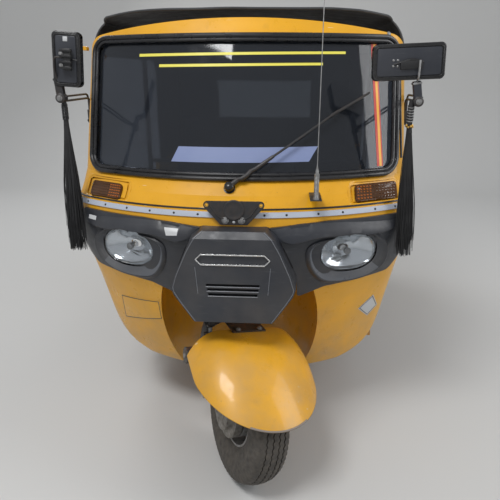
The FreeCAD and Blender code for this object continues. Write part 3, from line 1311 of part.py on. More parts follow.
def suspension_link():
    """The cast leading link with its lightening holes, pivot pin, axle and brake plate."""
    pivot = Vector(*ahead(0, *LINK_PIVOT))
    hub = Vector(*ahead(0, AXLE_LEAD, FRONT_AXLE_Z))
    line = hub - pivot
    lean = math.asin((LINK_HUB_RADIUS - LINK_PIVOT_RADIUS) / line.Length)
    along = line.normalize()
    up = Vector(0, -along.z, along.y)
    corners = []
    for spot, radius, sign in ((pivot, LINK_PIVOT_RADIUS, 1), (hub, LINK_HUB_RADIUS, 1),
                               (hub, LINK_HUB_RADIUS, -1), (pivot, LINK_PIVOT_RADIUS, -1)):
        corners.append(spot + (up * (sign * math.cos(lean)) - along * math.sin(lean)) * radius)
    inner = Vector(-LINK_INNER, 0, 0)
    outer = Vector(-LINK_WALL, 0, 0)
    web = Part.Face(Part.makePolygon(corners + corners[:1])).extrude(outer)
    web = fused([web, Part.makeCylinder(LINK_PIVOT_RADIUS, LINK_WALL, pivot, Vector(-1, 0, 0)),
                 Part.makeCylinder(LINK_HUB_RADIUS, LINK_WALL, hub, Vector(-1, 0, 0))])
    span = (hub - pivot).Length
    for share, radius in LINK_HOLES:
        hole = Part.makeCylinder(radius, LINK_WALL * 4, pivot + along * (span * share) + Vector(LINK_WALL, 0, 0),
                                 Vector(-1, 0, 0))
        web = web.cut(hole)
    web.translate(inner)
    pin = rod(ahead(-LINK_INNER - 1, *LINK_PIVOT), ahead(-LINK_PIVOT_OUTER - 6, *LINK_PIVOT), LINK_PIN)
    axle = rod(ahead(-LINK_INNER - 1, AXLE_LEAD, FRONT_AXLE_Z), ahead(RIM_WIDTH / 2, AXLE_LEAD, FRONT_AXLE_Z),
               HUB_BORE - SEAT_GAP)
    plate = rod(ahead(-LINK_INNER - 1, AXLE_LEAD, FRONT_AXLE_Z), ahead(-RIM_WIDTH / 2, AXLE_LEAD, FRONT_AXLE_Z),
                DRUM_RADIUS)
    lug = rod(ahead(-LINK_INNER - 1, *SPRING_LOW), ahead(-SPRING_X - SPRING_EYE, *SPRING_LOW), SHOCK_PIN)
    return fused([web, pin, axle, plate, lug])


def front_spring():
    """The coil-over damper beside the front wheel."""
    return coil_over(ahead(-SPRING_X, *SPRING_LOW), ahead(-SPRING_X, *SPRING_HIGH), SHOCK_PIN)


def fender_rows(drop):
    """The fender's sections as rows that face the nose."""
    return [(height - drop, half, -lead, bow, corner) for height, half, lead, bow, corner in FENDER_ROWS]


def front_fender():
    """The bulbous fender, open behind and below, its lower edge rising to the rear."""
    outer = bow_loft(fender_rows(0), 0, FENDER_BACK, False)
    inner = bow_loft(fender_rows(FENDER_WALL), -FENDER_WALL, FENDER_BACK + 50, False)
    low, half, lead, bow, corner = FENDER_ROWS[0]
    cutter = box(-half * 2, half * 2, -lead * 2, lead * 2, low - 400, low)
    cutter.rotate(Vector(0, -lead, low), Vector(1, 0, 0), FENDER_SLANT)
    return outer.cut(inner).cut(cutter)


def save(name, shape):
    """Moves a piece to the vehicle's own origin and writes it."""
    placed = shape.copy()
    placed.translate(Vector(0, -ORIGIN_Y, 0))
    placed.exportStep("parts/" + name + ".step")


os.makedirs("parts", exist_ok=True)

front_centre = Vector(*ahead(0, AXLE_LEAD, FRONT_AXLE_Z))
front_wheel = wheel_pair(1, front_centre)
pieces = {
    "front_cowl": front_cowl(),
    "wheel_housing": wheel_housing(),
    "windscreen_surround": windscreen_surround(),
    "windscreen_seal": windscreen_seal(),
    "windscreen_glass": windscreen_glass(),
    "turn_lamps": turn_lamps(),
    "lamp_surrounds": Part.makeCompound([lamp_surround(-1), lamp_surround(1)]),
    "headlamps": Part.makeCompound([placed_lamp(headlamp(), -1), placed_lamp(headlamp(), 1)]),
    "grille_panel": grille_panel(),
    "badge_frame": badge_frame(),
    "trim_strip": trim_strip(),
    "plate_bracket": plate_bracket(),
    "wiper": wiper(),
    "antenna": antenna(),
    "mirrors": mirrors(),
    "tassels": Part.makeCompound([tassel(-1), tassel(1)]),
    "floor_pan": floor_pan(),
    "chassis_frame": chassis_frame(),
    "steering_head": steering_head(),
    "dashboard": dashboard(),
    "rear_tub": rear_tub(),
    "engine_hatch": engine_hatch(),
    "seat_bench": seat_bench(),
    "passenger_cushion": passenger_cushion(),
    "passenger_backrest": passenger_backrest(),
    "driver_base": driver_base(),
    "driver_cushion": driver_cushion(),
    "driver_backrest": driver_backrest(),
    "roof_canopy": roof_canopy(),
    "rear_window": rear_window(),
    "roof_frame": roof_frame(),
    "side_guard": side_guard(),
    "rear_bumper": rear_bumper(),
    "tail_lamps": tail_lamps(),
    "rear_arms": rear_arms(),
    "rear_shocks": rear_shocks(),
    "engine_block": engine_block(),
    "exhaust": exhaust(),
    "steering_column": steered(steering_column()),
    "suspension_link": steered(suspension_link()),
    "front_spring": steered(front_spring()),
    "front_fender": steered(front_fender()),
    "front_tyre": steered(front_wheel[0]),
    "front_rim": steered(front_wheel[1]),
}
for word, side in (("left", 1), ("right", -1)):
    rear_wheel = wheel_pair(side, Vector(side * TRACK / 2, REAR_AXLE_Y, TYRE_RADIUS))
    pieces["rear_tyre_" + word] = rear_wheel[0]
    pieces["rear_rim_" + word] = rear_wheel[1]

for name, shape in pieces.items():
    save(name, shape)

# Joint places, in the saved frame
hub = Part.Vertex(front_centre)
hub.rotate(STEER_POINT, STEER_AXIS, STEER_REST)
spin = Rotation(STEER_AXIS, STEER_REST).multVec(Vector(1, 0, 0))
print("steering axis at", tuple(STEER_POINT - Vector(0, ORIGIN_Y, 0)), "along", tuple(STEER_AXIS))
print("front axle at", tuple(hub.Point - Vector(0, ORIGIN_Y, 0)), "along", tuple(spin))
print("rear axle at y", REAR_AXLE_Y - ORIGIN_Y, "hatch hinge at", HINGE_Y - ORIGIN_Y, HINGE_Z)
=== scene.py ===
"""The looks of a three-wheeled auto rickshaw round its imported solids. Lengths are in metres."""
import json
import math
import random

import bmesh
import bpy
from mathutils import Matrix, Vector, noise
from mathutils.bvhtree import BVHTree


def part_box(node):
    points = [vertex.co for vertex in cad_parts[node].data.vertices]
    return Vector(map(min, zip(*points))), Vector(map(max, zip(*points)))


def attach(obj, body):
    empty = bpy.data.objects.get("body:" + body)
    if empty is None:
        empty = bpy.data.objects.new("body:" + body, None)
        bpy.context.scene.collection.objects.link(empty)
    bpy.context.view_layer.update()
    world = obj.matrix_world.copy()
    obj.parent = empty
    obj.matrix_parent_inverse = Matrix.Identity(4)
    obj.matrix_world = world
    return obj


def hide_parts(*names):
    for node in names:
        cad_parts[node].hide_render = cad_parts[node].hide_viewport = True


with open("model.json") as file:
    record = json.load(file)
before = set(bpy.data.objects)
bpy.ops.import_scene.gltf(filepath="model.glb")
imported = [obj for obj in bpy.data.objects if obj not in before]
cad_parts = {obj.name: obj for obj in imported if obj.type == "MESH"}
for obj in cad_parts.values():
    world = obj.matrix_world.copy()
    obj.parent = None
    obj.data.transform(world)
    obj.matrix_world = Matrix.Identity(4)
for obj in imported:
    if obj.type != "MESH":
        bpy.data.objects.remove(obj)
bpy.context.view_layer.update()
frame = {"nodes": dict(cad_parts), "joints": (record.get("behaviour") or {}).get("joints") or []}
NODES = frame["nodes"]
JOINTS = {joint["name"]: joint for joint in frame["joints"]}

# Driving sizes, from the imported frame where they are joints
STEER_POINT = Vector(JOINTS["steering_turn"]["pos_m"])
STEER_AXIS = Vector(JOINTS["steering_turn"]["axis"])
STEER_REST = math.radians(28)
AXLE_LEAD = 0.090
TYRE_RADIUS = 0.270
CROWN_RADIUS = 0.110
SHOULDER = 0.058
TYRE_HALF = 0.0675
BEAD_HALF = 0.044
RIM_RADIUS = 0.130
STATION = STEER_POINT.y

# Camera: where the photograph was taken from
CAMERA_PLACE = (0.1752, -2.8858, 1.532)
CAMERA_PITCH = math.radians(18.93)
CAMERA_YAW = math.radians(3.95)
CAMERA_LENS = 37.37


# Materials
def node(mat, kind, inputs=None, **settings):
    """Adds one shader node, with its inputs set or linked."""
    made = mat.node_tree.nodes.new("ShaderNode" + kind)
    for key, value in settings.items():
        setattr(made, key, value)
    for key, value in (inputs or {}).items():
        if isinstance(value, bpy.types.NodeSocket):
            mat.node_tree.links.new(value, made.inputs[key])
        else:
            made.inputs[key].default_value = value
    return made


def principled(name, colour, roughness, **sockets):
    """A material with its shader's plain values set."""
    mat = bpy.data.materials.new(name)
    mat.use_nodes = True
    shader = mat.node_tree.nodes["Principled BSDF"]
    shader.inputs["Base Color"].default_value = (*colour, 1)
    shader.inputs["Roughness"].default_value = roughness
    for key, value in sockets.items():
        shader.inputs[key.replace("_", " ")].default_value = value
    return mat


def wire(mat, socket, value):
    """Links a pattern to the shader."""
    mat.node_tree.links.new(value, mat.node_tree.nodes["Principled BSDF"].inputs[socket])


def spot(mat, stretch=(1, 1, 1)):
    """The place on the object at rest, stretched for grain and scratches."""
    coords = node(mat, "TexCoord").outputs["Object"]
    if stretch == (1, 1, 1):
        return coords
    return node(mat, "Mapping", {"Vector": coords, "Scale": stretch}).outputs["Vector"]


def cloud(mat, scale, detail=3.0, stretch=(1, 1, 1), roughness=0.55):
    """Soft noise from 0 to 1."""
    made = node(mat, "TexNoise", {"Vector": spot(mat, stretch), "Scale": scale, "Detail": detail,
                                  "Roughness": roughness})
    return made.outputs["Fac"]


def band(mat, value, low, high, start=0.0, end=1.0):
    """Maps a stretch of a pattern to a new one, with clamped ends."""
    made = node(mat, "MapRange", {"Value": value, "From Min": low, "From Max": high,
                                  "To Min": start, "To Max": end})
    return made.outputs["Result"]


def sums(mat, operation, first, second):
    """One sum on patterns or numbers."""
    made = node(mat, "Math", operation=operation)
    for socket, value in zip(made.inputs, (first, second)):
        if isinstance(value, bpy.types.NodeSocket):
            mat.node_tree.links.new(value, socket)
        else:
            socket.default_value = value
    return made.outputs[0]


def blended(mat, share, first, second):
    """A colour between two, by a pattern."""
    made = node(mat, "Mix", data_type="RGBA")
    for socket, value in ((made.inputs[0], share), (made.inputs[6], first), (made.inputs[7], second)):
        if isinstance(value, bpy.types.NodeSocket):
            mat.node_tree.links.new(value, socket)
        else:
            socket.default_value = value if isinstance(value, float) else (*value, 1)
    return made.outputs[2]


def heights(mat):
    """The height over the floor at rest."""
    return node(mat, "SeparateXYZ", {"Vector": spot(mat)}).outputs["Z"]


def relief(mat, pattern, distance, strength=1.0, below=None):
    """A bump from a pattern, on top of another one."""
    inputs = {"Height": pattern, "Distance": distance, "Strength": strength}
    if below is not None:
        inputs["Normal"] = below
    return node(mat, "Bump", inputs).outputs["Normal"]


def soft_edges(mat, radius):
    """Normals that round a hard edge off a little."""
    return node(mat, "Bevel", {"Radius": radius}, samples=4).outputs["Normal"]


DUST = (0.30, 0.25, 0.19)
GRIME = (0.045, 0.036, 0.028)


def dusty(mat, colour, low, high, amount, tint=DUST):
    """Dust that thickens towards the floor, in patches."""
    depth = band(mat, heights(mat), low, high, 1.0, 0.0)
    patches = band(mat, cloud(mat, 9.0, 6.0), 0.35, 0.75)
    share = sums(mat, "MULTIPLY", sums(mat, "MULTIPLY", depth, patches), amount)
    return blended(mat, share, colour, tint)


def paint(name, colour, chips=0.02):
    """Worn gloss paint with fine scratches, chips and dust along its foot."""
    mat = principled(name, colour, 0.3, Coat_Weight=0.22, Coat_Roughness=0.07, Specular_IOR_Level=0.35)
    dark = tuple(c * 0.80 for c in colour)
    base = blended(mat, band(mat, cloud(mat, 3.2, 4.0), 0.35, 0.7), colour, dark)
    streaks = band(mat, cloud(mat, 26.0, 5.0, (1.0, 1.0, 0.16)), 0.60, 0.82, 0.0, 0.30)
    base = blended(mat, streaks, base, (0.42, 0.22, 0.03))
    scratches = band(mat, cloud(mat, 55.0, 2.0, (0.05, 1.0, 1.6)), 0.735, 0.76, 0.0, 0.6)
    base = blended(mat, scratches, base, (0.78, 0.66, 0.42))
    spots = band(mat, cloud(mat, 190.0, 2.0), 0.76 - chips, 0.78 - chips)
    base = blended(mat, spots, base, (0.10, 0.065, 0.04))
    wire(mat, "Base Color", dusty(mat, base, 0.30, 0.80, 0.55))
    rough = band(mat, cloud(mat, 14.0, 5.0), 0.3, 0.75, 0.24, 0.46)
    wire(mat, "Roughness", rough)
    wire(mat, "Normal", relief(mat, cloud(mat, 320.0, 1.0), 0.0002, 0.25, soft_edges(mat, 0.003)))
    return mat


def plastic(name, colour, roughness, grain=0.0002):
    """Moulded plastic with a fine grain, scuffs and settled dust."""
    mat = principled(name, colour, roughness)
    scuffs = band(mat, cloud(mat, 40.0, 4.0, (0.3, 1.0, 2.0)), 0.60, 0.78, 0.0, 0.5)
    pale = tuple(c + 0.06 for c in colour)
    base = blended(mat, scuffs, colour, pale)
    worn = blended(mat, band(mat, cloud(mat, 5.0, 5.0), 0.42, 0.75, 0.0, 0.45), base, tuple(c + 0.035 for c in colour))
    wire(mat, "Base Color", dusty(mat, worn, 0.2, 1.2, 0.25))
    wire(mat, "Roughness", band(mat, cloud(mat, 22.0, 4.0), 0.3, 0.7, roughness - 0.08, roughness + 0.14))
    wire(mat, "Normal", relief(mat, cloud(mat, 900.0, 1.0), grain, 0.4, soft_edges(mat, 0.002)))
    return mat


def metal(name, colour, roughness, dirt=0.5, tint=GRIME, metallic=1.0):
    """Bare or plated metal with stains."""
    mat = principled(name, colour, roughness, Metallic=metallic)
    share = band(mat, cloud(mat, 60.0, 6.0), 0.40, 0.72, 0.0, dirt)
    wire(mat, "Base Color", dusty(mat, blended(mat, share, colour, tint), 0.1, 0.9, 0.3))
    wire(mat, "Roughness", band(mat, cloud(mat, 75.0, 4.0), 0.3, 0.7, roughness, min(1.0, roughness + 0.25)))
    wire(mat, "Normal", relief(mat, cloud(mat, 420.0, 3.0), 0.0003, 0.35, soft_edges(mat, 0.0015)))
    return mat


def rusty(name, colour):
    """Black chassis paint with rust, grease and caked dust."""
    mat = principled(name, colour, 0.55)
    rust = band(mat, cloud(mat, 34.0, 8.0, roughness=0.7), 0.52, 0.66)
    base = blended(mat, rust, colour, (0.13, 0.05, 0.02))
    wire(mat, "Base Color", dusty(mat, base, 0.1, 0.9, 0.6))
    wire(mat, "Roughness", band(mat, rust, 0.0, 1.0, 0.45, 0.9))
    wire(mat, "Normal", relief(mat, cloud(mat, 150.0, 6.0, roughness=0.7), 0.0008, 0.6, soft_edges(mat, 0.002)))
    return mat


def glass(name, colour, roughness=0.02, clear=1.0):
    """Clear or tinted sheet with a film of dust."""
    mat = principled(name, colour, roughness, Transmission_Weight=clear, IOR=1.45)
    wire(mat, "Roughness", band(mat, cloud(mat, 6.0, 5.0), 0.45, 0.8, roughness, roughness + 0.10))
    return mat


def lens(name, colour, clear=0.9):
    """A clear coloured lamp lens."""
    mat = principled(name, colour, 0.08, Transmission_Weight=clear, IOR=1.45)
    wire(mat, "Roughness", band(mat, cloud(mat, 30.0, 4.0), 0.4, 0.8, 0.05, 0.22))
    return mat


def tread_rubber(name, colour, dust):
    """Tyre rubber, with more or less dust."""
    mat = principled(name, colour, 0.75)
    share = band(mat, cloud(mat, 38.0, 7.0, roughness=0.65), 0.35, 0.70, dust * 0.4, dust)
    wire(mat, "Base Color", blended(mat, share, colour, (0.20, 0.17, 0.135)))
    wire(mat, "Roughness", band(mat, cloud(mat, 60.0, 3.0), 0.3, 0.7, 0.62, 0.95))
    wire(mat, "Normal", relief(mat, cloud(mat, 500.0, 4.0), 0.0004, 0.6))
    return mat


def coated_cloth(name, colour):
    """Grained coated cloth with creases and paler stains in patches."""
    mat = principled(name, colour, 0.62)
    grain = node(mat, "TexVoronoi", {"Vector": spot(mat), "Scale": 520.0}, feature="F1").outputs["Distance"]
    stains = band(mat, cloud(mat, 4.0, 7.0, roughness=0.65), 0.40, 0.72, 0.0, 0.7)
    base = blended(mat, stains, colour, tuple(c * 1.9 + 0.01 for c in colour))
    wire(mat, "Base Color", base)
    wire(mat, "Roughness", band(mat, cloud(mat, 18.0, 4.0), 0.3, 0.7, 0.5, 0.78))
    wide = relief(mat, cloud(mat, 16.0, 4.0, (1.0, 0.35, 1.0)), 0.004, 0.35)
    wire(mat, "Normal", relief(mat, grain, 0.0005, 0.5, wide))
    return mat


def hide_sheet(name, colour):
    """Grained seat sheeting."""
    mat = principled(name, colour, 0.45)
    grain = node(mat, "TexVoronoi", {"Vector": spot(mat), "Scale": 330.0},
                 feature="DISTANCE_TO_EDGE").outputs["Distance"]
    base = blended(mat, band(mat, cloud(mat, 8.0, 5.0), 0.4, 0.7, 0.0, 0.5), colour, tuple(c + 0.03 for c in colour))
    wire(mat, "Base Color", base)
    wire(mat, "Roughness", band(mat, cloud(mat, 20.0, 3.0), 0.3, 0.7, 0.36, 0.6))
    wire(mat, "Normal", relief(mat, grain, 0.0006, 0.4))
    return mat


YELLOW = (0.82, 0.405, 0.018)
BLACK = (0.018, 0.018, 0.019)

FINISHES = {
    "yellow": paint("worn_yellow_paint", YELLOW),
    "cab_yellow": paint("cab_yellow_paint", (0.62, 0.27, 0.012), 0.03),
    "plastic": plastic("black_moulding", (0.026, 0.029, 0.037), 0.38),
    "gloss_plastic": plastic("black_gloss_moulding", (0.014, 0.014, 0.015), 0.24, 0.00005),
    "back_moulding": plastic("mirror_back_moulding", (0.030, 0.033, 0.042), 0.34, 0.0001),
    "back_black": plastic("black_bracket_moulding", (0.012, 0.012, 0.013), 0.4, 0.0001),
    "worn_lip": plastic("worn_fender_lip", (0.26, 0.225, 0.20), 0.6),
    "rubber": plastic("window_rubber", (0.012, 0.012, 0.014), 0.27, 0.00005),
    "screen": glass("tinted_screen", (0.062, 0.072, 0.092), 0.03, 0.8),
    "sheet": glass("clear_sheet", (0.70, 0.72, 0.66), 0.12),
    "lamp": principled("lamp_glass", (0.93, 0.95, 0.97), 0.05, Transmission_Weight=1.0, IOR=1.45),
    "amber": lens("amber_lens", (0.78, 0.22, 0.03), 0.55),
    "red": lens("red_lens", (0.70, 0.012, 0.01)),
    "chrome": metal("bright_trim", (0.78, 0.78, 0.78), 0.16, 0.12, (0.25, 0.24, 0.22)),
    "mirror": principled("mirror_glass", (0.9, 0.9, 0.9), 0.02, Metallic=1.0),
    "reflector": principled("lamp_reflector", (0.60, 0.62, 0.64), 0.14, Metallic=1.0),
    "black_steel": rusty("black_chassis_paint", BLACK),
    "tube": metal("black_tube_paint", (0.028, 0.028, 0.03), 0.38, 0.3, (0.10, 0.06, 0.035), 0.0),
    "cast": metal("dusty_cast_alloy", (0.33, 0.32, 0.30), 0.55, 0.75, (0.07, 0.055, 0.04), 0.7),
    "rim": metal("worn_silver_paint", (0.34, 0.34, 0.34), 0.45, 0.7, (0.075, 0.055, 0.04), 0.3),
    "hot_steel": metal("heat_stained_steel", (0.26, 0.23, 0.20), 0.5, 0.6, (0.12, 0.06, 0.03)),
    "tread": tread_rubber("dusty_tyre", (0.022, 0.022, 0.023), 0.45),
    "groove": tread_rubber("dirt_in_grooves", (0.02, 0.018, 0.016), 0.9),
    "canopy": coated_cloth("grey_roof_cloth", (0.040, 0.042, 0.045)),
    "seat": hide_sheet("black_seat_sheeting", (0.030, 0.028, 0.027)),
    "piping": plastic("seat_piping", (0.045, 0.040, 0.038), 0.5),
    # A pale blue-grey painted highlight for the headlamp pockets' inner and lower slope.
    "lip_highlight_paint": plastic("pocket_lip_painted_highlight", (0.105, 0.115, 0.135), 0.32, 0.0001),
    "seam": principled("shadow_gap", (0.004, 0.004, 0.005), 0.8),
    # Painted highlights: pale lines along the grille's edges, the lower ledges of its slots and its folds.
    "edge_highlight_paint": plastic("moulding_edge_painted_highlight", (0.16, 0.17, 0.19), 0.28, 0.0001),
    "strip": plastic("pale_strip", (0.46, 0.50, 0.58), 0.32, 0.0001),
    "white_label": plastic("white_label", (0.55, 0.56, 0.57), 0.4, 0.00005),
    "black_line": plastic("black_print", (0.012, 0.012, 0.012), 0.4, 0.00005),
    "plate_yellow": paint("blank_plate_yellow", (0.84, 0.42, 0.02), 0.0),
    "stripe_red": plastic("red_stripe_film", (0.55, 0.030, 0.012), 0.35, 0.00005),
    "stripe_yellow": plastic("yellow_stripe_film", (0.88, 0.42, 0.03), 0.35, 0.00005),
    "pale_yellow": plastic("pale_yellow_film", (0.80, 0.72, 0.10), 0.4, 0.00005),
    "pale_blue": plastic("pale_blue_film", (0.22, 0.27, 0.46), 0.4, 0.00005),
    "zinc": metal("dull_zinc", (0.36, 0.36, 0.36), 0.42, 0.55, (0.08, 0.07, 0.06), 0.8),
    "brass": metal("brass_beads", (0.72, 0.45, 0.12), 0.3, 0.4, (0.14, 0.09, 0.03)),
    "dark_amber": lens("brown_amber_lens", (0.105, 0.042, 0.012), 0.35),
    "hair": coated_cloth("black_hair", (0.012, 0.012, 0.013)),
    "bulb": principled("bulb_glass", (0.95, 0.95, 0.93), 0.05, Transmission_Weight=0.8),
}

LOOKS = {
    "yellow": "front_cowl windscreen_surround front_fender rear_tub engine_hatch wheel_housing",
    "cab_yellow": "floor_pan",
    "plastic": "lamp_surrounds grille_panel dashboard",
    "rubber": "windscreen_seal",
    "screen": "windscreen_glass",
    "sheet": "rear_window",
    "lamp": "headlamps",
    "amber": "turn_lamps",
    "red": "tail_lamps",
    "chrome": "badge_frame",
    "strip": "trim_strip",
    "tube": "roof_frame side_guard rear_bumper plate_bracket wiper mirrors antenna driver_base seat_bench",
    "black_steel": "chassis_frame steering_head rear_arms rear_shocks steering_column front_spring",
    "cast": "engine_block suspension_link",
    "hot_steel": "exhaust",
    "tread": "front_tyre rear_tyre_left rear_tyre_right",
    "rim": "front_rim rear_rim_left rear_rim_right",
    "canopy": "roof_canopy tassels",
    "seat": "passenger_cushion passenger_backrest driver_cushion driver_backrest",
}


def smooth(mesh, angle=32.0):
    """Smooth shading with hard edges kept."""
    mesh.shade_smooth()
    mesh.set_sharp_from_angle(angle=math.radians(angle))


def dress_nodes():
    """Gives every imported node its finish."""
    for finish, names in LOOKS.items():
        for name in names.split():
            made = NODES[name]
            made.data.materials.clear()
            made.data.materials.append(FINISHES[finish])
            smooth(made.data)


dress_nodes()


# Shapes
moved = Matrix.Translation
FORWARD = Matrix.Rotation(math.radians(-90), 4, "Z")
BACKWARD = Matrix.Rotation(math.radians(90), 4, "Z")
UPWARD = Matrix.Rotation(math.radians(-90), 4, "Y")


def linked(name, data):
    """A new object in the scene."""
    made = bpy.data.objects.new(name, data)
    bpy.context.scene.collection.objects.link(made)
    return made


def pour(shape, whole):
    """Adds a shape to a larger one and frees it."""
    loose = bpy.data.meshes.new("loose")
    shape.to_mesh(loose)
    shape.free()
    whole.from_mesh(loose)
    bpy.data.meshes.remove(loose)


def outward(shape):
    """The shape with its faces turned outward."""
    bmesh.ops.recalc_face_normals(shape, faces=shape.faces)
    return shape


def to_mesh(name, shape):
    """A mesh from a shape, which is freed."""
    data = bpy.data.meshes.new(name)
    shape.to_mesh(data)
    shape.free()
    return data


def lofted(rows, around=True, closed=False, ends=()):
    """A skin through rows of places; a row of one place closes an end."""
    shape = bmesh.new()
    rings = [[shape.verts.new(place) for place in row] for row in rows]
    pairs = list(zip(rings, rings[1:]))
    if closed:
        pairs.append((rings[-1], rings[0]))
    for first, second in pairs:
        count = max(len(first), len(second))
        for i in range(count if around else count - 1):
            j = (i + 1) % count
            corners = [first[i % len(first)], first[j % len(first)],
                       second[j % len(second)], second[i % len(second)]]
            unique = [v for k, v in enumerate(corners) if v not in corners[:k]]
            if len(unique) > 2:
                shape.faces.new(unique)
    for end in ends:
        shape.faces.new(rings[0][::-1] if end == 0 else rings[end])
    return outward(shape)


class Piece:
    """One mesh in the making, with its finishes."""

    def __init__(self, name, body, *finishes):
        self.name = name
        self.body = body
        self.finishes = finishes
        self.mesh = bmesh.new()

    def add(self, shape, finish=None, place=None):
        """Takes a shape in, with one of the finishes, moved to its place."""
        if place is not None:
            bmesh.ops.transform(shape, matrix=place, verts=shape.verts)
        if finish is not None:
            for face in shape.faces:
                face.material_index = self.finishes.index(finish)
        if place is not None and place.determinant() < 0:
            bmesh.ops.reverse_faces(shape, faces=shape.faces)
        pour(shape, self.mesh)

    def done(self, replaces=(), angle=32.0):
        """Makes the object, rides it on its body and hides the parts it stands for."""
        data = to_mesh(self.name, self.mesh)
        for finish in self.finishes:
            data.materials.append(FINISHES[finish])
        smooth(data, angle)
        made = linked(self.name, data)
        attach(made, self.body)
        if replaces:
            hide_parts(*replaces)
        return made


def lathe(rows, steps=48, closed=False):
    """A turned shape round x, through rows of x and radius; a radius of 0 closes an end."""
    angles = [2 * math.pi * i / steps for i in range(steps)]
    return lofted([[(x, radius * math.cos(angle), radius * math.sin(angle)) for angle in angles]
                   if radius else [(x, 0, 0)] for x, radius in rows], closed=closed)


def sweep(points, radius, sides=10, taper=None):
    """A round bar along a line of points, its ends closed."""
    spots = [Vector(p) for p in points]
    rows = []
    across = None
    for i, here in enumerate(spots):
        ahead = (spots[min(i + 1, len(spots) - 1)] - spots[max(i - 1, 0)]).normalized()
        if across is None:
            across = ahead.orthogonal().normalized()
        across = (across - ahead * across.dot(ahead)).normalized()
        up = ahead.cross(across)
        size = radius if taper is None else radius * taper(i / (len(spots) - 1))
        angles = [2 * math.pi * k / sides for k in range(sides)]
        rows.append([here + (across * math.cos(angle) + up * math.sin(angle)) * size for angle in angles])
    return lofted(rows, ends=(0, -1))


def rounded(points, bend, steps=6):
    """A line of points with each inner corner rounded."""
    spots = [Vector(p) for p in points]
    line = [spots[0]]
    for before, here, after in zip(spots, spots[1:], spots[2:]):
        reach = min(bend, (before - here).length * 0.45, (after - here).length * 0.45)
        start = here + (before - here).normalized() * reach
        end = here + (after - here).normalized() * reach
        for i in range(steps + 1):
            t = i / steps
            line.append(start * (1 - t) ** 2 + here * 2 * t * (1 - t) + end * t ** 2)
    line.append(spots[-1])
    return line


def plate(outline, depth, bevel=0.0, segments=2):
    """A flat plate in xz from an outline, from y = 0 to depth, with bevelled edges."""
    shape = bmesh.new()
    face = shape.faces.new([shape.verts.new((x, 0, z)) for x, z in outline])
    made = bmesh.ops.extrude_face_region(shape, geom=[face])
    for item in made["geom"]:
        if isinstance(item, bmesh.types.BMVert):
            item.co.y += depth
    outward(shape)
    if bevel:
        bmesh.ops.bevel(shape, geom=list(shape.edges), offset=bevel, segments=segments, profile=0.5,
                        affect="EDGES")
    return shape


def block(low, high, bevel=0.002, segments=2):
    """A block between two corners with round edges."""
    x0, y0, z0 = low
    x1, y1, z1 = high
    shape = plate([(x0, z0), (x1, z0), (x1, z1), (x0, z1)], y1 - y0, bevel, segments)
    bmesh.ops.translate(shape, vec=(0, y0, 0), verts=shape.verts)
    return shape


def round_box(half_width, low, high, radius, steps=6):
    """A rectangle's outline with round corners, centred on x = 0."""
    reach, foot, top = half_width - radius, low + radius, high - radius
    outline = []
    for x, z, turn in ((reach, foot, -90), (reach, top, 0), (-reach, top, 90), (-reach, foot, 180)):
        for i in range(steps + 1):
            angle = math.radians(turn + 90 * i / steps)
            outline.append((x + radius * math.cos(angle), z + radius * math.sin(angle)))
    return outline


def dome(radius, height, steps=10):
    """A rivet head on the yz plane, its top towards +x."""
    rows = [(-0.0005, radius)]
    for i in range(5):
        angle = math.radians(90 * i / 4)
        rows.append((height * math.sin(angle), radius * math.cos(angle) if i < 4 else 0))
    return lathe(rows, steps)


def joined(shapes):
    """One shape from several."""
    whole = bmesh.new()
    for shape in shapes:
        pour(shape, whole)
    return whole


def hexagon_bolt(radius, height):
    """A hexagon bolt head with a washer, its top towards +x."""
    washer = [(0, 0), (0, radius * 1.5), (height * 0.25, radius * 1.5), (height * 0.25, radius * 0.7)]
    head = [(height * 0.2, radius), (height * 0.85, radius), (height, radius * 0.86), (height, 0)]
    return joined([lathe(washer, 20), lathe(head, 6)])


def turned(direction, axis="X"):
    """A turn that points one axis along a direction, with z as near up as it can."""
    return Vector(direction).normalized().to_track_quat(axis, "Z").to_matrix().to_4x4()


def facing(place, direction):
    """A matrix whose x axis points along a direction, at a place."""
    return moved(place) @ turned(direction)


def skin(*names):
    """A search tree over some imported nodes."""
    shape = bmesh.new()
    for name in names:
        shape.from_mesh(NODES[name].data)
    tree = BVHTree.FromBMesh(shape)
    shape.free()
    return tree


FRONT = skin("front_cowl", "windscreen_surround", "lamp_surrounds", "grille_panel", "windscreen_glass",
             "windscreen_seal", "turn_lamps", "front_fender")
AHEAD = -3.0
BEHIND = 3.0
SLIT_SHIFTS = (0, 0.002, 0.005, 0.009, 0.014, 0.022, 0.032, 0.045)


def on_front(across, up, tree=None, lift=0.0):
    """The place on the front of the vehicle behind (across, up), and the way it faces."""
    place, normal = (tree or FRONT).ray_cast(Vector((across, AHEAD, up)), Vector((0, 1, 0)))[:2]
    if place is None:
        return None, None
    if normal.y > 0:
        normal = -normal
    return place + normal * lift, normal


def near_front(across, up, tree=None, lift=0.0):
    """The nearest place on the front, past a slit between two pieces."""
    inward = -math.copysign(1, across)
    for shift in SLIT_SHIFTS:
        for rise in (shift, -shift):
            place, normal = on_front(across + inward * shift, up + rise, tree, lift)
            if place is not None:
                return place, normal
    return None, None


def laid(points, tree=None, lift=0.0, find=near_front):
    """Places on the front behind points of (across, up), without those that miss it."""
    places = [find(x, z, tree, lift)[0] for x, z in points]
    return [place for place in places if place is not None]


def on_tail(across, up, tree):
    """The place on the back ahead of (across, up), and the way it faces."""
    return tree.ray_cast(Vector((across, BEHIND, up)), Vector((0, -1, 0)))[:2]


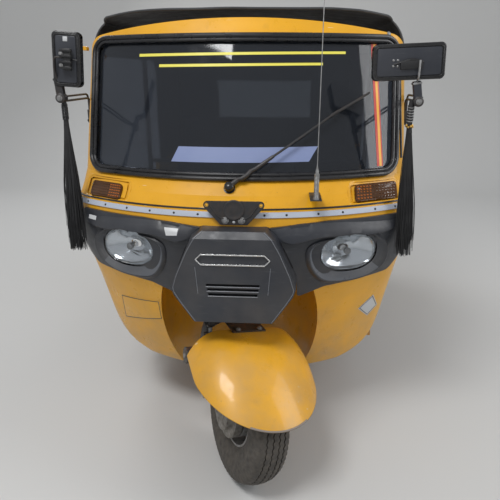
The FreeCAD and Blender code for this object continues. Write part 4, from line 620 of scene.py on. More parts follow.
def patch(corners, columns, rows, tree, lift, finish_of=None):
    """A thin sheet that lies on the front, between four front-view corners, in grid cells."""
    shape = bmesh.new()
    a, b, c, d = [Vector((x, z)) for x, z in corners]
    grid = []
    for i in range(rows + 1):
        t = i / rows
        line = []
        for k in range(columns + 1):
            s = k / columns
            flat = (a * (1 - s) + b * s) * (1 - t) + (d * (1 - s) + c * s) * t
            place = on_front(flat.x, flat.y, tree, lift)[0]
            line.append(shape.verts.new(place) if place else None)
        grid.append(line)
    for i in range(rows):
        for k in range(columns):
            cell = (grid[i][k], grid[i][k + 1], grid[i + 1][k + 1], grid[i + 1][k])
            if None in cell:
                continue
            face = shape.faces.new(cell)
            if finish_of:
                face.material_index = finish_of(k, i)
    outward(shape)
    if shape.faces and sum(face.normal.y for face in shape.faces) > 0:
        bmesh.ops.reverse_faces(shape, faces=shape.faces)
    return shape


def steered_place():
    """Where the parked steering has what is drawn straight ahead."""
    away = moved(STEER_POINT)
    return away @ Matrix.Rotation(STEER_REST, 4, STEER_AXIS) @ away.inverted()


STEERED = steered_place()


# Camera, light and floor
def make_camera():
    """The photograph's camera."""
    data = bpy.data.cameras.new("camera")
    data.lens = CAMERA_LENS
    data.sensor_width = 36
    made = linked("camera", data)
    made.location = CAMERA_PLACE
    made.rotation_euler = (math.pi / 2 - CAMERA_PITCH, 0, CAMERA_YAW)
    bpy.context.scene.camera = made


def area_light(name, place, target, size, power):
    """A soft rectangular lamp."""
    data = bpy.data.lights.new(name, "AREA")
    data.shape = "RECTANGLE"
    data.size, data.size_y = size
    data.energy = power
    made = linked(name, data)
    made.location = place
    made.rotation_euler = (Vector(target) - Vector(place)).to_track_quat("-Z", "Y").to_euler()


# Lamps: name, place, target, size and power
LAMPS = (
    ("key", (-1.2, -3.2, 4.6), (0, -0.6, 0.8), (1.6, 1.1), 108),
    ("side", (4.0, -1.5, 3.0), (0, 0, 0.8), (2.0, 2.5), 60),
    ("back", (-2.5, 3.5, 4.2), (0, 0.5, 1.0), (2.5, 2.0), 70),
)
FLOOR_FRONT = -9.0
FLOOR_BACK = 5.5
FLOOR_WIDE = 9.0
FLOOR_BEND = 1.5
BACKDROP_HIGH = 7.0
SKY = (0.95, 0.97, 1.0, 1)
SKY_STRENGTH = 0.46


def make_stage():
    """A pale floor that curves up into a backdrop, and soft studio lamps."""
    line = [(FLOOR_FRONT, 0.0)]
    for i in range(13):
        angle = math.radians(90 * i / 12)
        line.append((FLOOR_BACK - FLOOR_BEND + FLOOR_BEND * math.sin(angle), FLOOR_BEND - FLOOR_BEND * math.cos(angle)))
    line.append((FLOOR_BACK, BACKDROP_HIGH))
    data = to_mesh("floor", lofted([[(x, y, z) for x in (-FLOOR_WIDE, FLOOR_WIDE)] for y, z in line], around=False))
    data.shade_smooth()
    data.materials.append(principled("pale_floor", (0.62, 0.62, 0.61), 0.8))
    linked("floor", data)
    world = bpy.data.worlds.new("studio")
    world.use_nodes = True
    world.node_tree.nodes["Background"].inputs["Color"].default_value = SKY
    world.node_tree.nodes["Background"].inputs["Strength"].default_value = SKY_STRENGTH
    bpy.context.scene.world = world
    for lamp in LAMPS:
        area_light(*lamp)


make_camera()
make_stage()
bpy.context.scene.view_settings.view_transform = "Standard"


# Wheels
TREAD_WAVES = 68
GROOVE_WIDTH = 0.0048
GROOVE_DEPTH = 0.0065
GROOVES = (-0.0345, -0.0120, 0.0120, 0.0345)
ZIGZAG = 0.0026
NOTCH_DEPTH = 0.0035


def arc_through(first, middle, last, count):
    """Points on the circle through three, ends included."""
    ax, ay = first
    bx, by = middle
    cx, cy = last
    d = 2 * (ax * (by - cy) + bx * (cy - ay) + cx * (ay - by))
    ux = ((ax ** 2 + ay ** 2) * (by - cy) + (bx ** 2 + by ** 2) * (cy - ay) + (cx ** 2 + cy ** 2) * (ay - by)) / d
    uy = ((ax ** 2 + ay ** 2) * (cx - bx) + (bx ** 2 + by ** 2) * (ax - cx) + (cx ** 2 + cy ** 2) * (bx - ax)) / d
    radius = math.hypot(ax - ux, ay - uy)
    start, mid, end = (math.atan2(y - uy, x - ux) for x, y in (first, middle, last))
    while mid - start > math.pi:
        mid -= 2 * math.pi
    while mid - start < -math.pi:
        mid += 2 * math.pi
    while end - mid > math.pi:
        end -= 2 * math.pi
    while end - mid < -math.pi:
        end += 2 * math.pi
    angles = [start + (end - start) * i / (count - 1) for i in range(count)]
    return [(ux + radius * math.cos(a), uy + radius * math.sin(a)) for a in angles]


def tyre_columns():
    """Rows across the tyre: x, radius, share of the zigzag, whether a groove's floor, whether notched."""
    shoulder = TYRE_RADIUS - CROWN_RADIUS + math.sqrt(CROWN_RADIUS ** 2 - SHOULDER ** 2)
    belly = (shoulder + RIM_RADIUS) / 2
    wall = arc_through((-BEAD_HALF, RIM_RADIUS), (-TYRE_HALF, belly), (-SHOULDER, shoulder), 12)
    columns = []
    for i, (x, radius) in enumerate(wall[:-1]):
        ridge = 0.0016 if i in (2, 7) else 0.0
        columns.append((x - ridge, radius, 0, False, i >= 10))
    columns.append((-SHOULDER, shoulder, 0, False, True))
    columns.append((-0.047, tread_radius(-0.047), 0, False, False))
    for middle in GROOVES:
        half = GROOVE_WIDTH / 2
        columns.append((middle - half, tread_radius(middle), 1, False, False))
        columns.append((middle - half * 0.7, tread_radius(middle) - GROOVE_DEPTH, 1, True, False))
        columns.append((middle + half * 0.7, tread_radius(middle) - GROOVE_DEPTH, 1, True, False))
        columns.append((middle + half, tread_radius(middle), 1, False, False))
        if middle != GROOVES[-1]:
            rib = middle + (GROOVES[2] - GROOVES[1]) / 2
            columns.append((rib, tread_radius(rib), 0, False, False))
    columns.append((0.047, tread_radius(0.047), 0, False, False))
    columns.append((SHOULDER, shoulder, 0, False, True))
    for i, (x, radius) in enumerate(reversed(wall[:-1])):
        ridge = 0.0016 if i in (3, 8) else 0.0
        columns.append((-x + ridge, radius, 0, False, i == 0))
    return columns


def tread_radius(x):
    """The tread's radius across its crown."""
    return TYRE_RADIUS - CROWN_RADIUS + math.sqrt(CROWN_RADIUS ** 2 - x ** 2)


def make_tyre(name, body, packed, place):
    """A road tyre with four zigzag grooves and notched shoulders."""
    columns = tyre_columns()
    rows = []
    for k in range(4 * TREAD_WAVES):
        angle = 2 * math.pi * k / (4 * TREAD_WAVES)
        wave = ZIGZAG * (1 - abs((k % 4) - 2))
        row = []
        for x, radius, share, _, notched in columns:
            if notched and k % 4 == 0:
                radius -= NOTCH_DEPTH
            row.append((x + wave * share, radius * math.cos(angle), radius * math.sin(angle)))
        rows.append(row)
    shape = lofted(rows, closed=True)
    count = len(columns)
    for k, face in enumerate(shape.faces):
        face.material_index = 1 if columns[k % count][3] and columns[(k + 1) % count][3] else 0
    piece = Piece(name, body, "tread", "groove", "rubber")
    piece.add(shape, None, place)
    piece.add(sweep([(0.030, 0.0, 0.128), (0.046, 0.0, 0.116), (0.062, 0.0, 0.110)], 0.004, 8), "rubber", place)
    return piece.done([packed], 40.0)


def wheel_place(joint):
    """Where a wheel drawn round x at the origin belongs."""
    return moved(Vector(JOINTS[joint]["pos_m"]))


FRONT_WHEEL = STEERED @ moved((0, STATION - AXLE_LEAD, STEER_POINT.z))
MIRRORED = Matrix.Scale(-1, 4, (1, 0, 0))
make_tyre("front_tyre_tread", "front_wheel", "front_tyre", FRONT_WHEEL)
make_tyre("rear_left_tyre_tread", "rear_left_wheel", "rear_tyre_left", wheel_place("rear_left_wheel_spin"))
make_tyre("rear_right_tyre_tread", "rear_right_wheel", "rear_tyre_right",
          wheel_place("rear_right_wheel_spin") @ MIRRORED)


# Front trim
def at(across, station, up):
    """A place by its distance behind the steering axis."""
    return Vector((across, STATION + station, up))


# Stickers and bands: node, corners in millimetres, columns, rows, finish inside, finish of the line
# one cell in from the edge, or a finish for each column
DECALS = (
    ("front_cowl", ((-512, 640), (-318, 665), (-318, 563), (-524, 495)), 60, 26, "plate_yellow", "black_line"),
    ("front_cowl", ((487, 603), (549, 658), (579, 588), (537, 543)), 22, 22, "white_label", "black_line"),
    ("windscreen_glass", ((485, 1655), (508, 1655), (546, 1192), (522, 1192)), 5, 40,
     ("stripe_red", "stripe_red", "stripe_yellow", "stripe_yellow", "stripe_red"), None),
    ("windscreen_glass", ((-392, 1597), (388, 1604), (388, 1595), (-392, 1587)), 60, 1, "pale_yellow", None),
    ("windscreen_glass", ((-308, 1559), (303, 1564), (303, 1555), (-308, 1549)), 50, 1, "pale_yellow", None),
    ("windscreen_glass", ((-222, 1272), (291, 1274), (259, 1222), (-250, 1218)), 40, 4, "pale_blue", None),
)
DECAL_LIFT = 0.0009


def make_decals():
    """Blank labels and stickers, and the coloured bands on the glass."""
    finishes = ("white_label", "black_line", "plate_yellow", "stripe_red", "stripe_yellow", "pale_yellow",
                "pale_blue")
    piece = Piece("blank_decals", "chassis", *finishes)
    for on, corners, columns, rows, inside, line in DECALS:
        def pick(k, i):
            near = min(k, i, columns - 1 - k, rows - 1 - i)
            finish = line if line and near == 1 else inside if isinstance(inside, str) else inside[k]
            return finishes.index(finish)
        piece.add(patch([(x / 1000, z / 1000) for x, z in corners], columns, rows, skin(on), DECAL_LIFT, pick))
    return piece.done()


LAMP_PLACE = (0.412, 0.025, 0.905)
LAMP_SIZE = (0.110, 0.072)
LAMP_DEPTH = 0.070
LAMP_TURN = math.radians(18)
LENS_BULGE = 0.016
OVAL_POWER = 2.3
OVAL_STEPS = 64


def lamp_place(side):
    """Where a lamp drawn facing -y at the origin belongs on one side."""
    x, station, up = LAMP_PLACE
    return moved(at(side * x, station, up)) @ Matrix.Rotation(side * LAMP_TURN, 4, "Z")


def on_oval(share, angle, depth=0.0):
    """A place round the lamp's oval at a share of its size."""
    across, up = (math.copysign(abs(part) ** (2 / OVAL_POWER), part) for part in (math.cos(angle), math.sin(angle)))
    return Vector((LAMP_SIZE[0] * share * across, depth, LAMP_SIZE[1] * share * up))


def oval_shell(rows, flute=0.0):
    """A skin through ovals, as rows of share and depth, with shallow upright flutes if asked."""
    places = []
    for share, depth in rows:
        row = [on_oval(share, 2 * math.pi * i / OVAL_STEPS, depth) for i in range(OVAL_STEPS if share else 1)]
        for place in row:
            if share and abs(place.x) < 0.1 and place.y > -0.012:
                place.y += flute * math.sin(place.x * 700)
        places.append(row)
    return lofted(places, closed=True)


def make_headlamps():
    """Oval lamps: a plated bowl, a bulb with its shield and a fluted clear lens."""
    piece = Piece("headlamp_units", "chassis", "lamp", "reflector", "gloss_plastic", "bulb", "zinc")
    shares = (0.0, 0.2, 0.4, 0.6, 0.8, 0.92)
    front = [(share, -LENS_BULGE * (1 - share ** 2) - 0.001) for share in shares]
    back = [(share, -LENS_BULGE * (1 - share ** 2) + 0.003) for share in shares[-2::-1]]
    glass_rows = front + [(0.975, -0.0035), (0.985, 0.0005), (0.93, 0.002)] + back
    bowl = [(share, 0.004 + 0.050 * (1 - share ** 2)) for share in (0.955, 0.9, 0.8, 0.7, 0.6, 0.5, 0.4, 0.3, 0.2)]
    can = [(0.992, 0.001), (0.998, 0.004), (0.998, LAMP_DEPTH), (0.3, LAMP_DEPTH), (0.97, 0.014), (0.98, 0.002)]
    bulb = [(-0.05, 0), (-0.05, 0.011), (-0.024, 0.011), (-0.012, 0.008), (-0.008, 0)]
    shield = [(-0.006, 0), (-0.006, 0.013), (-0.016, 0.0135), (-0.017, 0.0125), (-0.0075, 0.012), (-0.0075, 0)]
    for side in (-1, 1):
        place = lamp_place(side)
        piece.add(oval_shell(glass_rows, 0.0007), "lamp", place)
        piece.add(oval_shell(bowl + [(0.2, 0.058), (0.97, 0.010), (0.975, 0.004)]), "reflector", place)
        piece.add(oval_shell(can), "gloss_plastic", place)
        piece.add(lathe(bulb, 24), "bulb", place @ FORWARD)
        piece.add(lathe(shield, 24), "zinc", place @ FORWARD)
    return piece.done(["headlamps"])


# The lenses' low and high x, then low and high z
TURN_LAMPS = ((-0.581, -0.441, 1.083, 1.130), (0.430, 0.598, 1.087, 1.139))
# The base's outline: middle, half width, low, high and corner radius, then how far its rows stand
# outside that outline, on what and how proud
LAMP_BASE = (0.509, 0.097, 1.082, 1.144, 0.012)
BASE_CORNERS = ((0.411, 1.081), (0.607, 1.081), (0.607, 1.145), (0.411, 1.145))
LENS_CORNER = 0.013
BASE_ROWS = ((-0.0035, "lamps", -0.0062), (0.005, "body", 0.0009), (0.0075, "body", -0.001))
# The lens from its foot inward: share of its size, lift
LENS_ROWS = ((1.0, -0.0066), (1.0, -0.001), (0.975, 0.0022), (0.93, 0.0026), (0.90, 0.0010), (0.60, 0.0016),
             (0.30, 0.0018))
CELL_COLUMNS = 13
CELL_ROWS = 5


def make_turn_lamps():
    """Moulded amber corner lamps, their inner third a brighter grid, on a painted base."""
    piece = Piece("turn_lamp_cells", "chassis", "dark_amber", "amber", "yellow")
    trees = {"lamps": skin("turn_lamps"), "body": skin("front_cowl", "windscreen_surround")}
    lamps = trees["lamps"]
    centre, half, foot, top, radius = LAMP_BASE
    for x0, x1, z0, z1 in TURN_LAMPS:
        side = -1 if x0 < 0 else 1
        piece.add(patch([(side * x, z) for x, z in BASE_CORNERS], 16, 6, lamps, -0.0064), "yellow")
        rows = []
        for grow, on, lift in BASE_ROWS:
            outline = round_box(half + grow, foot - grow, top + grow, radius + grow, 5)
            rows.append(laid([(side * centre + x, z) for x, z in outline], trees[on], lift))
        rows.insert(1, [(inner + outer) / 2 for inner, outer in zip(*rows[:2])])
        piece.add(lofted(rows), "yellow")
        mid_x, mid_z = (x0 + x1) / 2, (z0 + z1) / 2
        outline = round_box((x1 - x0) / 2, z0, z1, LENS_CORNER)
        rows = [laid([(mid_x + x * share, mid_z + (z - mid_z) * share) for x, z in outline], lamps, lift)
                for share, lift in LENS_ROWS]
        piece.add(lofted(rows, ends=(-1,)), "dark_amber")
        for k in range(CELL_COLUMNS):
            for i in range(CELL_ROWS):
                bright = k < 5 if side > 0 else k > 7
                place, normal = near_front(x0 + (x1 - x0) * (k + 1) / (CELL_COLUMNS + 1),
                                           z0 + (z1 - z0) * (i + 1) / (CELL_ROWS + 1), lamps, 0.0012)
                piece.add(block((-0.0040, -0.0016, -0.0030), (0.0040, 0.001, 0.0030), 0.0012, 1),
                          "amber" if bright else "dark_amber", moved(place) @ turned(normal, "-Y"))
    return piece.done(["turn_lamps"])


BROW_TOP = ((595, 1012), (482, 1020), (375, 1030), (274, 1031), (207, 1028), (122, 1008))
BROW_LOW = ((599, 984), (509, 973), (392, 984), (283, 983), (230, 968), (186, 961), (131, 993))
BROW_PROUD = 0.022
BROW_STEPS = 48
# The brow's section: share of the way down, then its lift in metres where it is small, or else as
# a share of BROW_PROUD
BROW_ROWS = ((0.0, -0.003), (0.03, 0.0012), (0.45, 0.62), (0.86, 0.97), (0.97, 1.0), (1.02, 0.90), (1.0, 0.60),
             (0.90, -0.2))
BROW_LABELS = (((-0.251, 1.010), (-0.199, 1.008), (-0.203, 0.986), (-0.243, 0.984)),
               ((-0.578, 1.012), (-0.541, 1.012), (-0.541, 0.999), (-0.580, 0.998)))
POCKET = ((502, 969), (556, 931), (573, 880), (562, 826), (515, 790), (457, 780), (385, 780), (323, 791), (286, 832),
          (267, 875), (261, 925), (276, 949), (320, 963), (400, 976))
POCKET_STEPS = 72
# The pocket from outside its lip to behind the lens: share of the way to the lamp, then how far
# towards the lamp and how far out
POCKET_ROWS = ((0, -0.012, -0.002), (0, -0.005, 0.0065), (0, 0, 0.0095), (0, 0.005, 0.0070),
               (0.45, 0, 0.0015), (1, -0.004, -0.0015), (1, 0, -0.014))
GRILLE_EDGE = ((110, 1017), (146, 989), (219, 822), (209, 789), (140, 687))
# The grille's slots: height and half width
GRILLE_SLOTS = ((828, 95), (811, 92), (792, 88))


def along_line(points, share):
    """A place on a line of points by its share of the whole length, in metres."""
    spans = [math.dist(a, b) for a, b in zip(points, points[1:])]
    left = share * sum(spans)
    for (a, b), span in zip(zip(points, points[1:]), spans):
        if left <= span + 1e-9:
            t = left / span
            return ((a[0] + (b[0] - a[0]) * t) / 1000, (a[1] + (b[1] - a[1]) * t) / 1000)
        left -= span
    return (points[-1][0] / 1000, points[-1][1] / 1000)


def eased(points, rounds=2):
    """A line with its corners cut."""
    line = list(points)
    for _ in range(rounds):
        cut = [line[0]]
        for (ax, az), (bx, bz) in zip(line, line[1:]):
            cut += [(ax * 0.75 + bx * 0.25, az * 0.75 + bz * 0.25), (ax * 0.25 + bx * 0.75, az * 0.25 + bz * 0.75)]
        line = cut + [line[-1]]
    return line


def brow_shape(side, tree):
    """The ledge over one headlamp, from its top edge out to its lip and back under."""
    top, low = eased(BROW_TOP), eased(BROW_LOW)
    out = Vector((side * 0.35, -1, 0)).normalized()
    rows = []
    for i in range(BROW_STEPS + 1):
        share = i / BROW_STEPS
        end = min(1.0, 7 * share, 7 * (1 - share)) ** 0.6
        tx, tz = along_line(top, share)
        lx, lz = along_line(low, share)
        row = []
        for t, lift in BROW_ROWS:
            proud = lift if -0.01 < lift < 0.01 else lift * BROW_PROUD * end
            row.append(near_front(side * (tx + (lx - tx) * t), tz + (lz - tz) * t, tree)[0] + out * proud)
        rows.append(row)
    return lofted(rows, around=False, ends=(0, -1))


def pocket_reach(angle):
    """How far the pocket's edge lies from the lamp's middle in one direction, seen from the front."""
    cx, cz = LAMP_PLACE[0] * 1000, LAMP_PLACE[2] * 1000
    dx, dz = math.cos(angle), math.sin(angle)
    line = eased(POCKET + POCKET[:1])
    for (ax, az), (bx, bz) in zip(line, line[1:]):
        ex, ez = bx - ax, bz - az
        det = dx * ez - dz * ex
        if abs(det) < 1e-9:
            continue
        t = ((ax - cx) * ez - (az - cz) * ex) / det
        u = ((ax - cx) * dz - (az - cz) * dx) / det
        if t > 0 and -1e-6 <= u <= 1 + 1e-6:
            return t / 1000
    return 0.12


def pocket_shape(side, tree):
    """The raised lip and dished pocket round one headlamp, with a painted highlight on its slope towards the vehicle's
    middle and along its bottom.
    """
    place = lamp_place(side)
    out = Vector((side * 0.3, -1, 0)).normalized()
    rows = [[] for _ in POCKET_ROWS]
    for i in range(POCKET_STEPS):
        angle = 2 * math.pi * i / POCKET_STEPS
        reach = pocket_reach(angle)
        edge = near_front(side * (LAMP_PLACE[0] + reach * math.cos(angle)),
                          LAMP_PLACE[2] + reach * math.sin(angle), tree)[0]
        inner = on_oval(1.035, angle)
        inner.x *= side
        inner = place @ inner
        toward = (inner - edge).normalized()
        for row, (share, near, proud) in zip(rows, POCKET_ROWS):
            row.append(edge * (1 - share) + inner * share + toward * near + out * proud)
    shape = lofted(rows)
    for number, face in enumerate(shape.faces):
        k, i = divmod(number, POCKET_STEPS)
        angle = 2 * math.pi * (i + 0.5) / POCKET_STEPS
        turned_in = math.cos(angle) < -0.1 or math.sin(angle) < -0.55
        # The lip's inner slope and the dish, towards the vehicle's middle or at the bottom, get the pale painted
        # highlight; the rows behind the lens are gloss black.
        face.material_index = 2 if k >= 5 else 1 if k in (3, 4) and turned_in else 0
    if sum(face.normal.y for face in shape.faces) > 0:
        bmesh.ops.reverse_faces(shape, faces=shape.faces)
    return shape


def make_lamp_mouldings():
    """The brow, the raised lip and the dished pocket of each headlamp, with a painted highlight in the pocket, and the
    seams of the grille as lines: a painted shadow in the gap and painted highlights along its edges, slots and folds.
    """
    piece = Piece("lamp_mouldings", "chassis", "plastic", "lip_highlight_paint", "gloss_plastic", "seam", "edge_highlight_paint",
                  "white_label")
    tree = skin("lamp_surrounds", "front_cowl", "headlamps")
    for side in (-1, 1):
        brow = brow_shape(side, tree)
        if side < 0:
            ledge = BVHTree.FromBMesh(brow)
            for corners in BROW_LABELS:
                piece.add(patch(corners, 8, 5, ledge, 0.0007), "white_label")
        piece.add(brow, "plastic")
        piece.add(pocket_shape(side, tree))
    panel = skin("grille_panel")
    outline = [along_line(eased(GRILLE_EDGE, 1), share / 40) for share in range(41)]
    for side in (-1, 1):
        # The pale line just inside the grille's edge is a painted highlight; the black line just outside it is a
        # painted shadow in the seam.
        for inset, on, finish, radius in ((0.004, panel, "edge_highlight_paint", 0.0016), (-0.006, tree, "seam", 0.0034)):
            line = laid([(side * (x - inset), z) for x, z in outline], on, 0.0002)
            piece.add(sweep(line, radius, 6), finish)
    # Pale lines along the slots' lower ledges: painted highlights.
    for height, half in GRILLE_SLOTS:
        line = laid([((-half + 2 * half * i / 30) / 1000, (height - 6) / 1000) for i in range(31)], panel, 0.0003)
        piece.add(sweep(line, 0.0020, 6), "edge_highlight_paint")
    for side in (-1, 1):
        # A pale line down each fold of the panel: a painted highlight.
        fold = [(side * (0.131 - 0.008 * i / 14), 0.895 - 0.10 * i / 14) for i in range(15)]
        piece.add(sweep(laid(fold, panel, 0.0002), 0.0014, 6), "edge_highlight_paint")
    return piece.done()


SCREEN_BAND = ("windscreen_surround", "windscreen_seal", "windscreen_glass")
# The rubber's edge: half width, low, high and corner radius
SEAL_EDGE = (0.604, 1.160, 1.664, 0.062)
# The seal's lips: inset from the rubber's edge, radius and lift
SEAL_LIPS = ((0.006, 0.0095, 0.003), (0.0205, 0.0070, 0.002))
SEAL_STEP = 0.03


def make_seal():
    """Two round lips along the windscreen's rubber."""
    piece = Piece("seal_lips", "chassis", "rubber")
    tree = skin(*SCREEN_BAND)
    half, low, high, corner = SEAL_EDGE
    for inset, radius, lift in SEAL_LIPS:
        line = round_box(half - inset, low + inset, high - inset, corner - inset, 10)
        dense = []
        for (x0, z0), (x1, z1) in zip(line, line[1:] + line[:1]):
            count = max(1, int(math.hypot(x1 - x0, z1 - z0) / SEAL_STEP))
            dense += [(x0 + (x1 - x0) * i / count, z0 + (z1 - z0) * i / count) for i in range(count)]
        piece.add(sweep(laid(dense + dense[:2], tree, lift), radius, 10), "rubber")
    return piece.done()


SCREEN = skin(*SCREEN_BAND)
WIPER_PIVOT = (-25, 1135)
WIPER_ELBOW = (356, 1391)
WIPER_TIP = (476, 1454)


def along(start, end, count, lift_of):
    """Places over the screen between two front-view points in millimetres."""
    spots = []
    for i in range(count + 1):
        x, z = (a + (b - a) * i / count for a, b in zip(start, end))
        spots.append(near_front(x / 1000, z / 1000, SCREEN, lift_of(i / count))[0])
    return spots


def make_wiper():
    """A pressed arm from a capped pivot, its thin end and a rubber blade."""
    piece = Piece("wiper_parts", "chassis", "tube", "rubber", "gloss_plastic")
    middle, joint = (tuple(a + (b - a) * share for a, b in zip(WIPER_PIVOT, WIPER_ELBOW)) for share in (0.40, 0.94))
    for line, radius, sides, taper, finish in (
            (along(WIPER_PIVOT, middle, 10, lambda t: 0.016 + 0.012 * t), 0.0095, 10, lambda t: 1 - 0.35 * t, "tube"),
            (along(middle, WIPER_ELBOW, 12, lambda t: 0.028 - 0.008 * t), 0.0045, 8, None, "tube"),
            (along(joint, WIPER_TIP, 10, lambda t: 0.016), 0.0060, 8, lambda t: 1 - 0.3 * t, "tube"),
            (along(WIPER_ELBOW, WIPER_TIP, 10, lambda t: 0.006), 0.0032, 6, None, "rubber")):
        piece.add(sweep(line, radius, sides, taper), finish)
    turn = facing(*near_front(WIPER_PIVOT[0] / 1000, WIPER_PIVOT[1] / 1000, SCREEN))
    piece.add(lathe([(-0.002, 0), (-0.002, 0.021), (0.004, 0.021), (0.005, 0.012), (0.010, 0.012)], 32), "rubber", turn)
    piece.add(lathe([(0.006, 0.010), (0.006, 0.0165), (0.014, 0.0185), (0.022, 0.0165), (0.027, 0.010), (0.029, 0)],
                    32), "gloss_plastic", turn)
    return piece.done(["wiper"])


STRIP_RIVETS = (-0.585, -0.500, -0.405, -0.311, -0.218, -0.130, 0.105, 0.182, 0.294, 0.382, 0.504, 0.585)
STRIP_HEIGHT = 1.0595
TOP_BEAD = (0.636, 1.0765)
BRACKET_FACE = -0.083


def make_front_trim():
    """Rivets in the bright strip, the dark bead over it and the bracket's fittings."""
    piece = Piece("front_fittings", "chassis", "black_line", "zinc", "white_label", "brass", "tube", "rubber")
    strip = skin("trim_strip")
    for x in STRIP_RIVETS:
        place, normal = on_front(x, STRIP_HEIGHT, strip)
        if place:
            piece.add(dome(0.0042, 0.0022), "black_line", facing(place, normal))
    body = skin("front_cowl", "windscreen_surround")
    bead = [(TOP_BEAD[0] * (i / 40 - 1), TOP_BEAD[1]) for i in range(81)]
    piece.add(sweep(laid(bead, body, 0.0006, on_front), 0.0034, 8), "rubber")
    disc = [(0.0, 0.036), (0.0035, 0.036), (0.005, 0.033), (0.0035, 0.026), (0.002, 0.022), (0.004, 0.012), (0.0045, 0)]
    piece.add(lathe(disc, 40), "tube", moved(at(0, BRACKET_FACE, 1.083)) @ FORWARD)
    bow = [at(x, BRACKET_FACE, z) for x, z in ((-0.082, 1.098), (-0.050, 1.052), (0.050, 1.052), (0.082, 1.098))]
    piece.add(sweep(rounded(bow, 0.02), 0.0028, 8), "tube")
    for x in (-0.030, 0.027):
        piece.add(hexagon_bolt(0.0085, 0.008), "zinc", moved(at(x, BRACKET_FACE, 1.046)) @ FORWARD)
    for x in (-0.094, 0.094):
        piece.add(lathe([(0, 0.0075), (0.002, 0.007), (0.002, 0.0045), (-0.002, 0.0045)], 20, True), "brass",
                  moved(at(x, BRACKET_FACE, 1.100)) @ FORWARD)
    piece.add(dome(0.0052, 0.002, 16), "white_label", moved(at(0, BRACKET_FACE, 1.040)) @ FORWARD)
    piece.add(dome(0.009, 0.004, 16), "zinc", facing(*near_front(0.560, 1.672, body)))
    return piece.done()


ANTENNA = (0.280, -0.072)
ANTENNA_FOOT = 1.1215


def make_antenna():
    """A knurled sprung base on its angle plate, and the rod."""
    piece = Piece("antenna_parts", "chassis", "zinc", "tube")
    x, station = ANTENNA
    rows = [(0.0, 0), (0.0, 0.0105), (0.006, 0.0105), (0.007, 0.0085)]
    for i in range(24):
        rows += [(0.009 + i * 0.003, 0.0088), (0.0105 + i * 0.003, 0.0078)]
    rows += [(0.082, 0.0088), (0.088, 0.0088), (0.089, 0.0062), (0.098, 0.0055), (0.112, 0.0022), (0.118, 0.0016),
             (0.866, 0.0012), (0.868, 0)]
    piece.add(lathe(rows, 24), "zinc", moved(at(x, station, ANTENNA_FOOT + 0.0005)) @ UPWARD)
    piece.add(block(at(x - 0.020, BRACKET_FACE, ANTENNA_FOOT - 0.003), at(x + 0.020, 0.045, ANTENNA_FOOT), 0.001),
              "tube")
    piece.add(hexagon_bolt(0.006, 0.005), "zinc", moved(at(x, station + 0.03, ANTENNA_FOOT)) @ UPWARD)
    return piece.done(["antenna"])


# Mirrors and tassels: middle, height, half width, half height and lean of each mirror
MIRRORS = (
    (-0.592, 1.573, 0.050, 0.091, 4.0),
    (0.577, 1.564, 0.119, 0.058, -2.4),
)
MIRROR_STATION = 0.060
MIRROR_DEPTH = 0.034
ARM_X = 0.656
ARM_HEIGHT = 1.440
ARM_FOOT = 0.405
# The clamps under the mirrors: x and height of the top, then of the foot
CLAMPS = ((-0.636, 1.515, -0.631, 1.448), (0.611, 1.503, 0.622, 1.440))


def mirror_head(piece, x, z, half_width, half_height, lean):
    """A mirror's moulded back, its raised panel and its glass."""
    place = moved(at(x, MIRROR_STATION, z)) @ Matrix.Rotation(math.radians(lean), 4, "Y")

    def outline(inset, radius, steps=6):
        return round_box(half_width - inset, -half_height + inset, half_height - inset, radius, steps)

    piece.add(plate(outline(0, 0.017, 8), MIRROR_DEPTH, 0.0055, 4), "gloss_plastic", place)
    lip = [(px, -0.0002, pz) for px, pz in outline(0.010, 0.010)]
    piece.add(sweep(lip + lip[:2], 0.0022, 8), "gloss_plastic", place)
    piece.add(plate(outline(0.014, 0.008), 0.006, 0.0018, 2), "back_moulding", place @ moved((0, -0.0022, 0)))
    piece.add(plate(outline(0.006, 0.012), 0.0012), "mirror", place @ moved((0, MIRROR_DEPTH - 0.0008, 0)))
    return place


def left_bracket(piece, left):
    """The left mirror's finned bracket, its bolts, its label and its bent rod."""
    piece.add(block((-0.006, -0.020, -0.036), (0.022, 0.001, 0.036), 0.003), "back_black", left)
    for z in (-0.027, -0.009, 0.011, 0.029):
        piece.add(block((-0.015, -0.0245, z - 0.004), (0.026, -0.012, z + 0.004), 0.0015), "back_black", left)
    for z in (-0.020, 0.018):
        piece.add(hexagon_bolt(0.0048, 0.004), "zinc", left @ moved((-0.010, -0.021, z)) @ FORWARD)
    piece.add(sweep([(0.022, -0.010, 0.002), (0.044, -0.010, -0.001)], 0.0026, 8), "back_black", left)
    piece.add(block((-0.008, -0.0042, 0.058), (0.008, -0.0012, 0.074), 0.0015), "white_label", left)
    x, top = CLAMPS[0][:2]
    rod = [left @ Vector(p) for p in ((-0.006, -0.018, 0.006), (-0.036, -0.018, 0.006), (-0.038, -0.016, -0.036))]
    piece.add(sweep(rounded(rod + [at(x + 0.004, 0.068, top - 0.02)], 0.012), 0.0034, 8), "tube")


def right_bracket(piece, right):
    """The right mirror's raised ridge, its rivets, its bracket and its bent rod."""
    ridge = [(-0.052, -0.0035, -0.008), (-0.030, -0.004, -0.001), (0.0, -0.005, 0.006), (0.026, -0.006, 0.006),
             (0.046, -0.005, -0.004)]
    piece.add(sweep(rounded(ridge, 0.02), 0.0052, 8, lambda t: 1 - 0.5 * abs(2 * t - 1)), "gloss_plastic", right)
    for px in (-0.052, -0.038):
        for pz in (0.006, -0.012):
            piece.add(dome(0.0042, 0.003, 12), "zinc", right @ moved((px, -0.002, pz)) @ FORWARD)
    piece.add(block((-0.030, -0.010, -0.024), (0.044, 0.001, 0.004), 0.004), "back_black", right)
    x, top = CLAMPS[1][:2]
    rod = [right @ Vector((0.034, -0.010, 0.004)), right @ Vector((0.030, -0.016, -0.05)), at(x, 0.068, top)]
    piece.add(sweep(rounded(rod, 0.01), 0.0036, 8), "zinc")


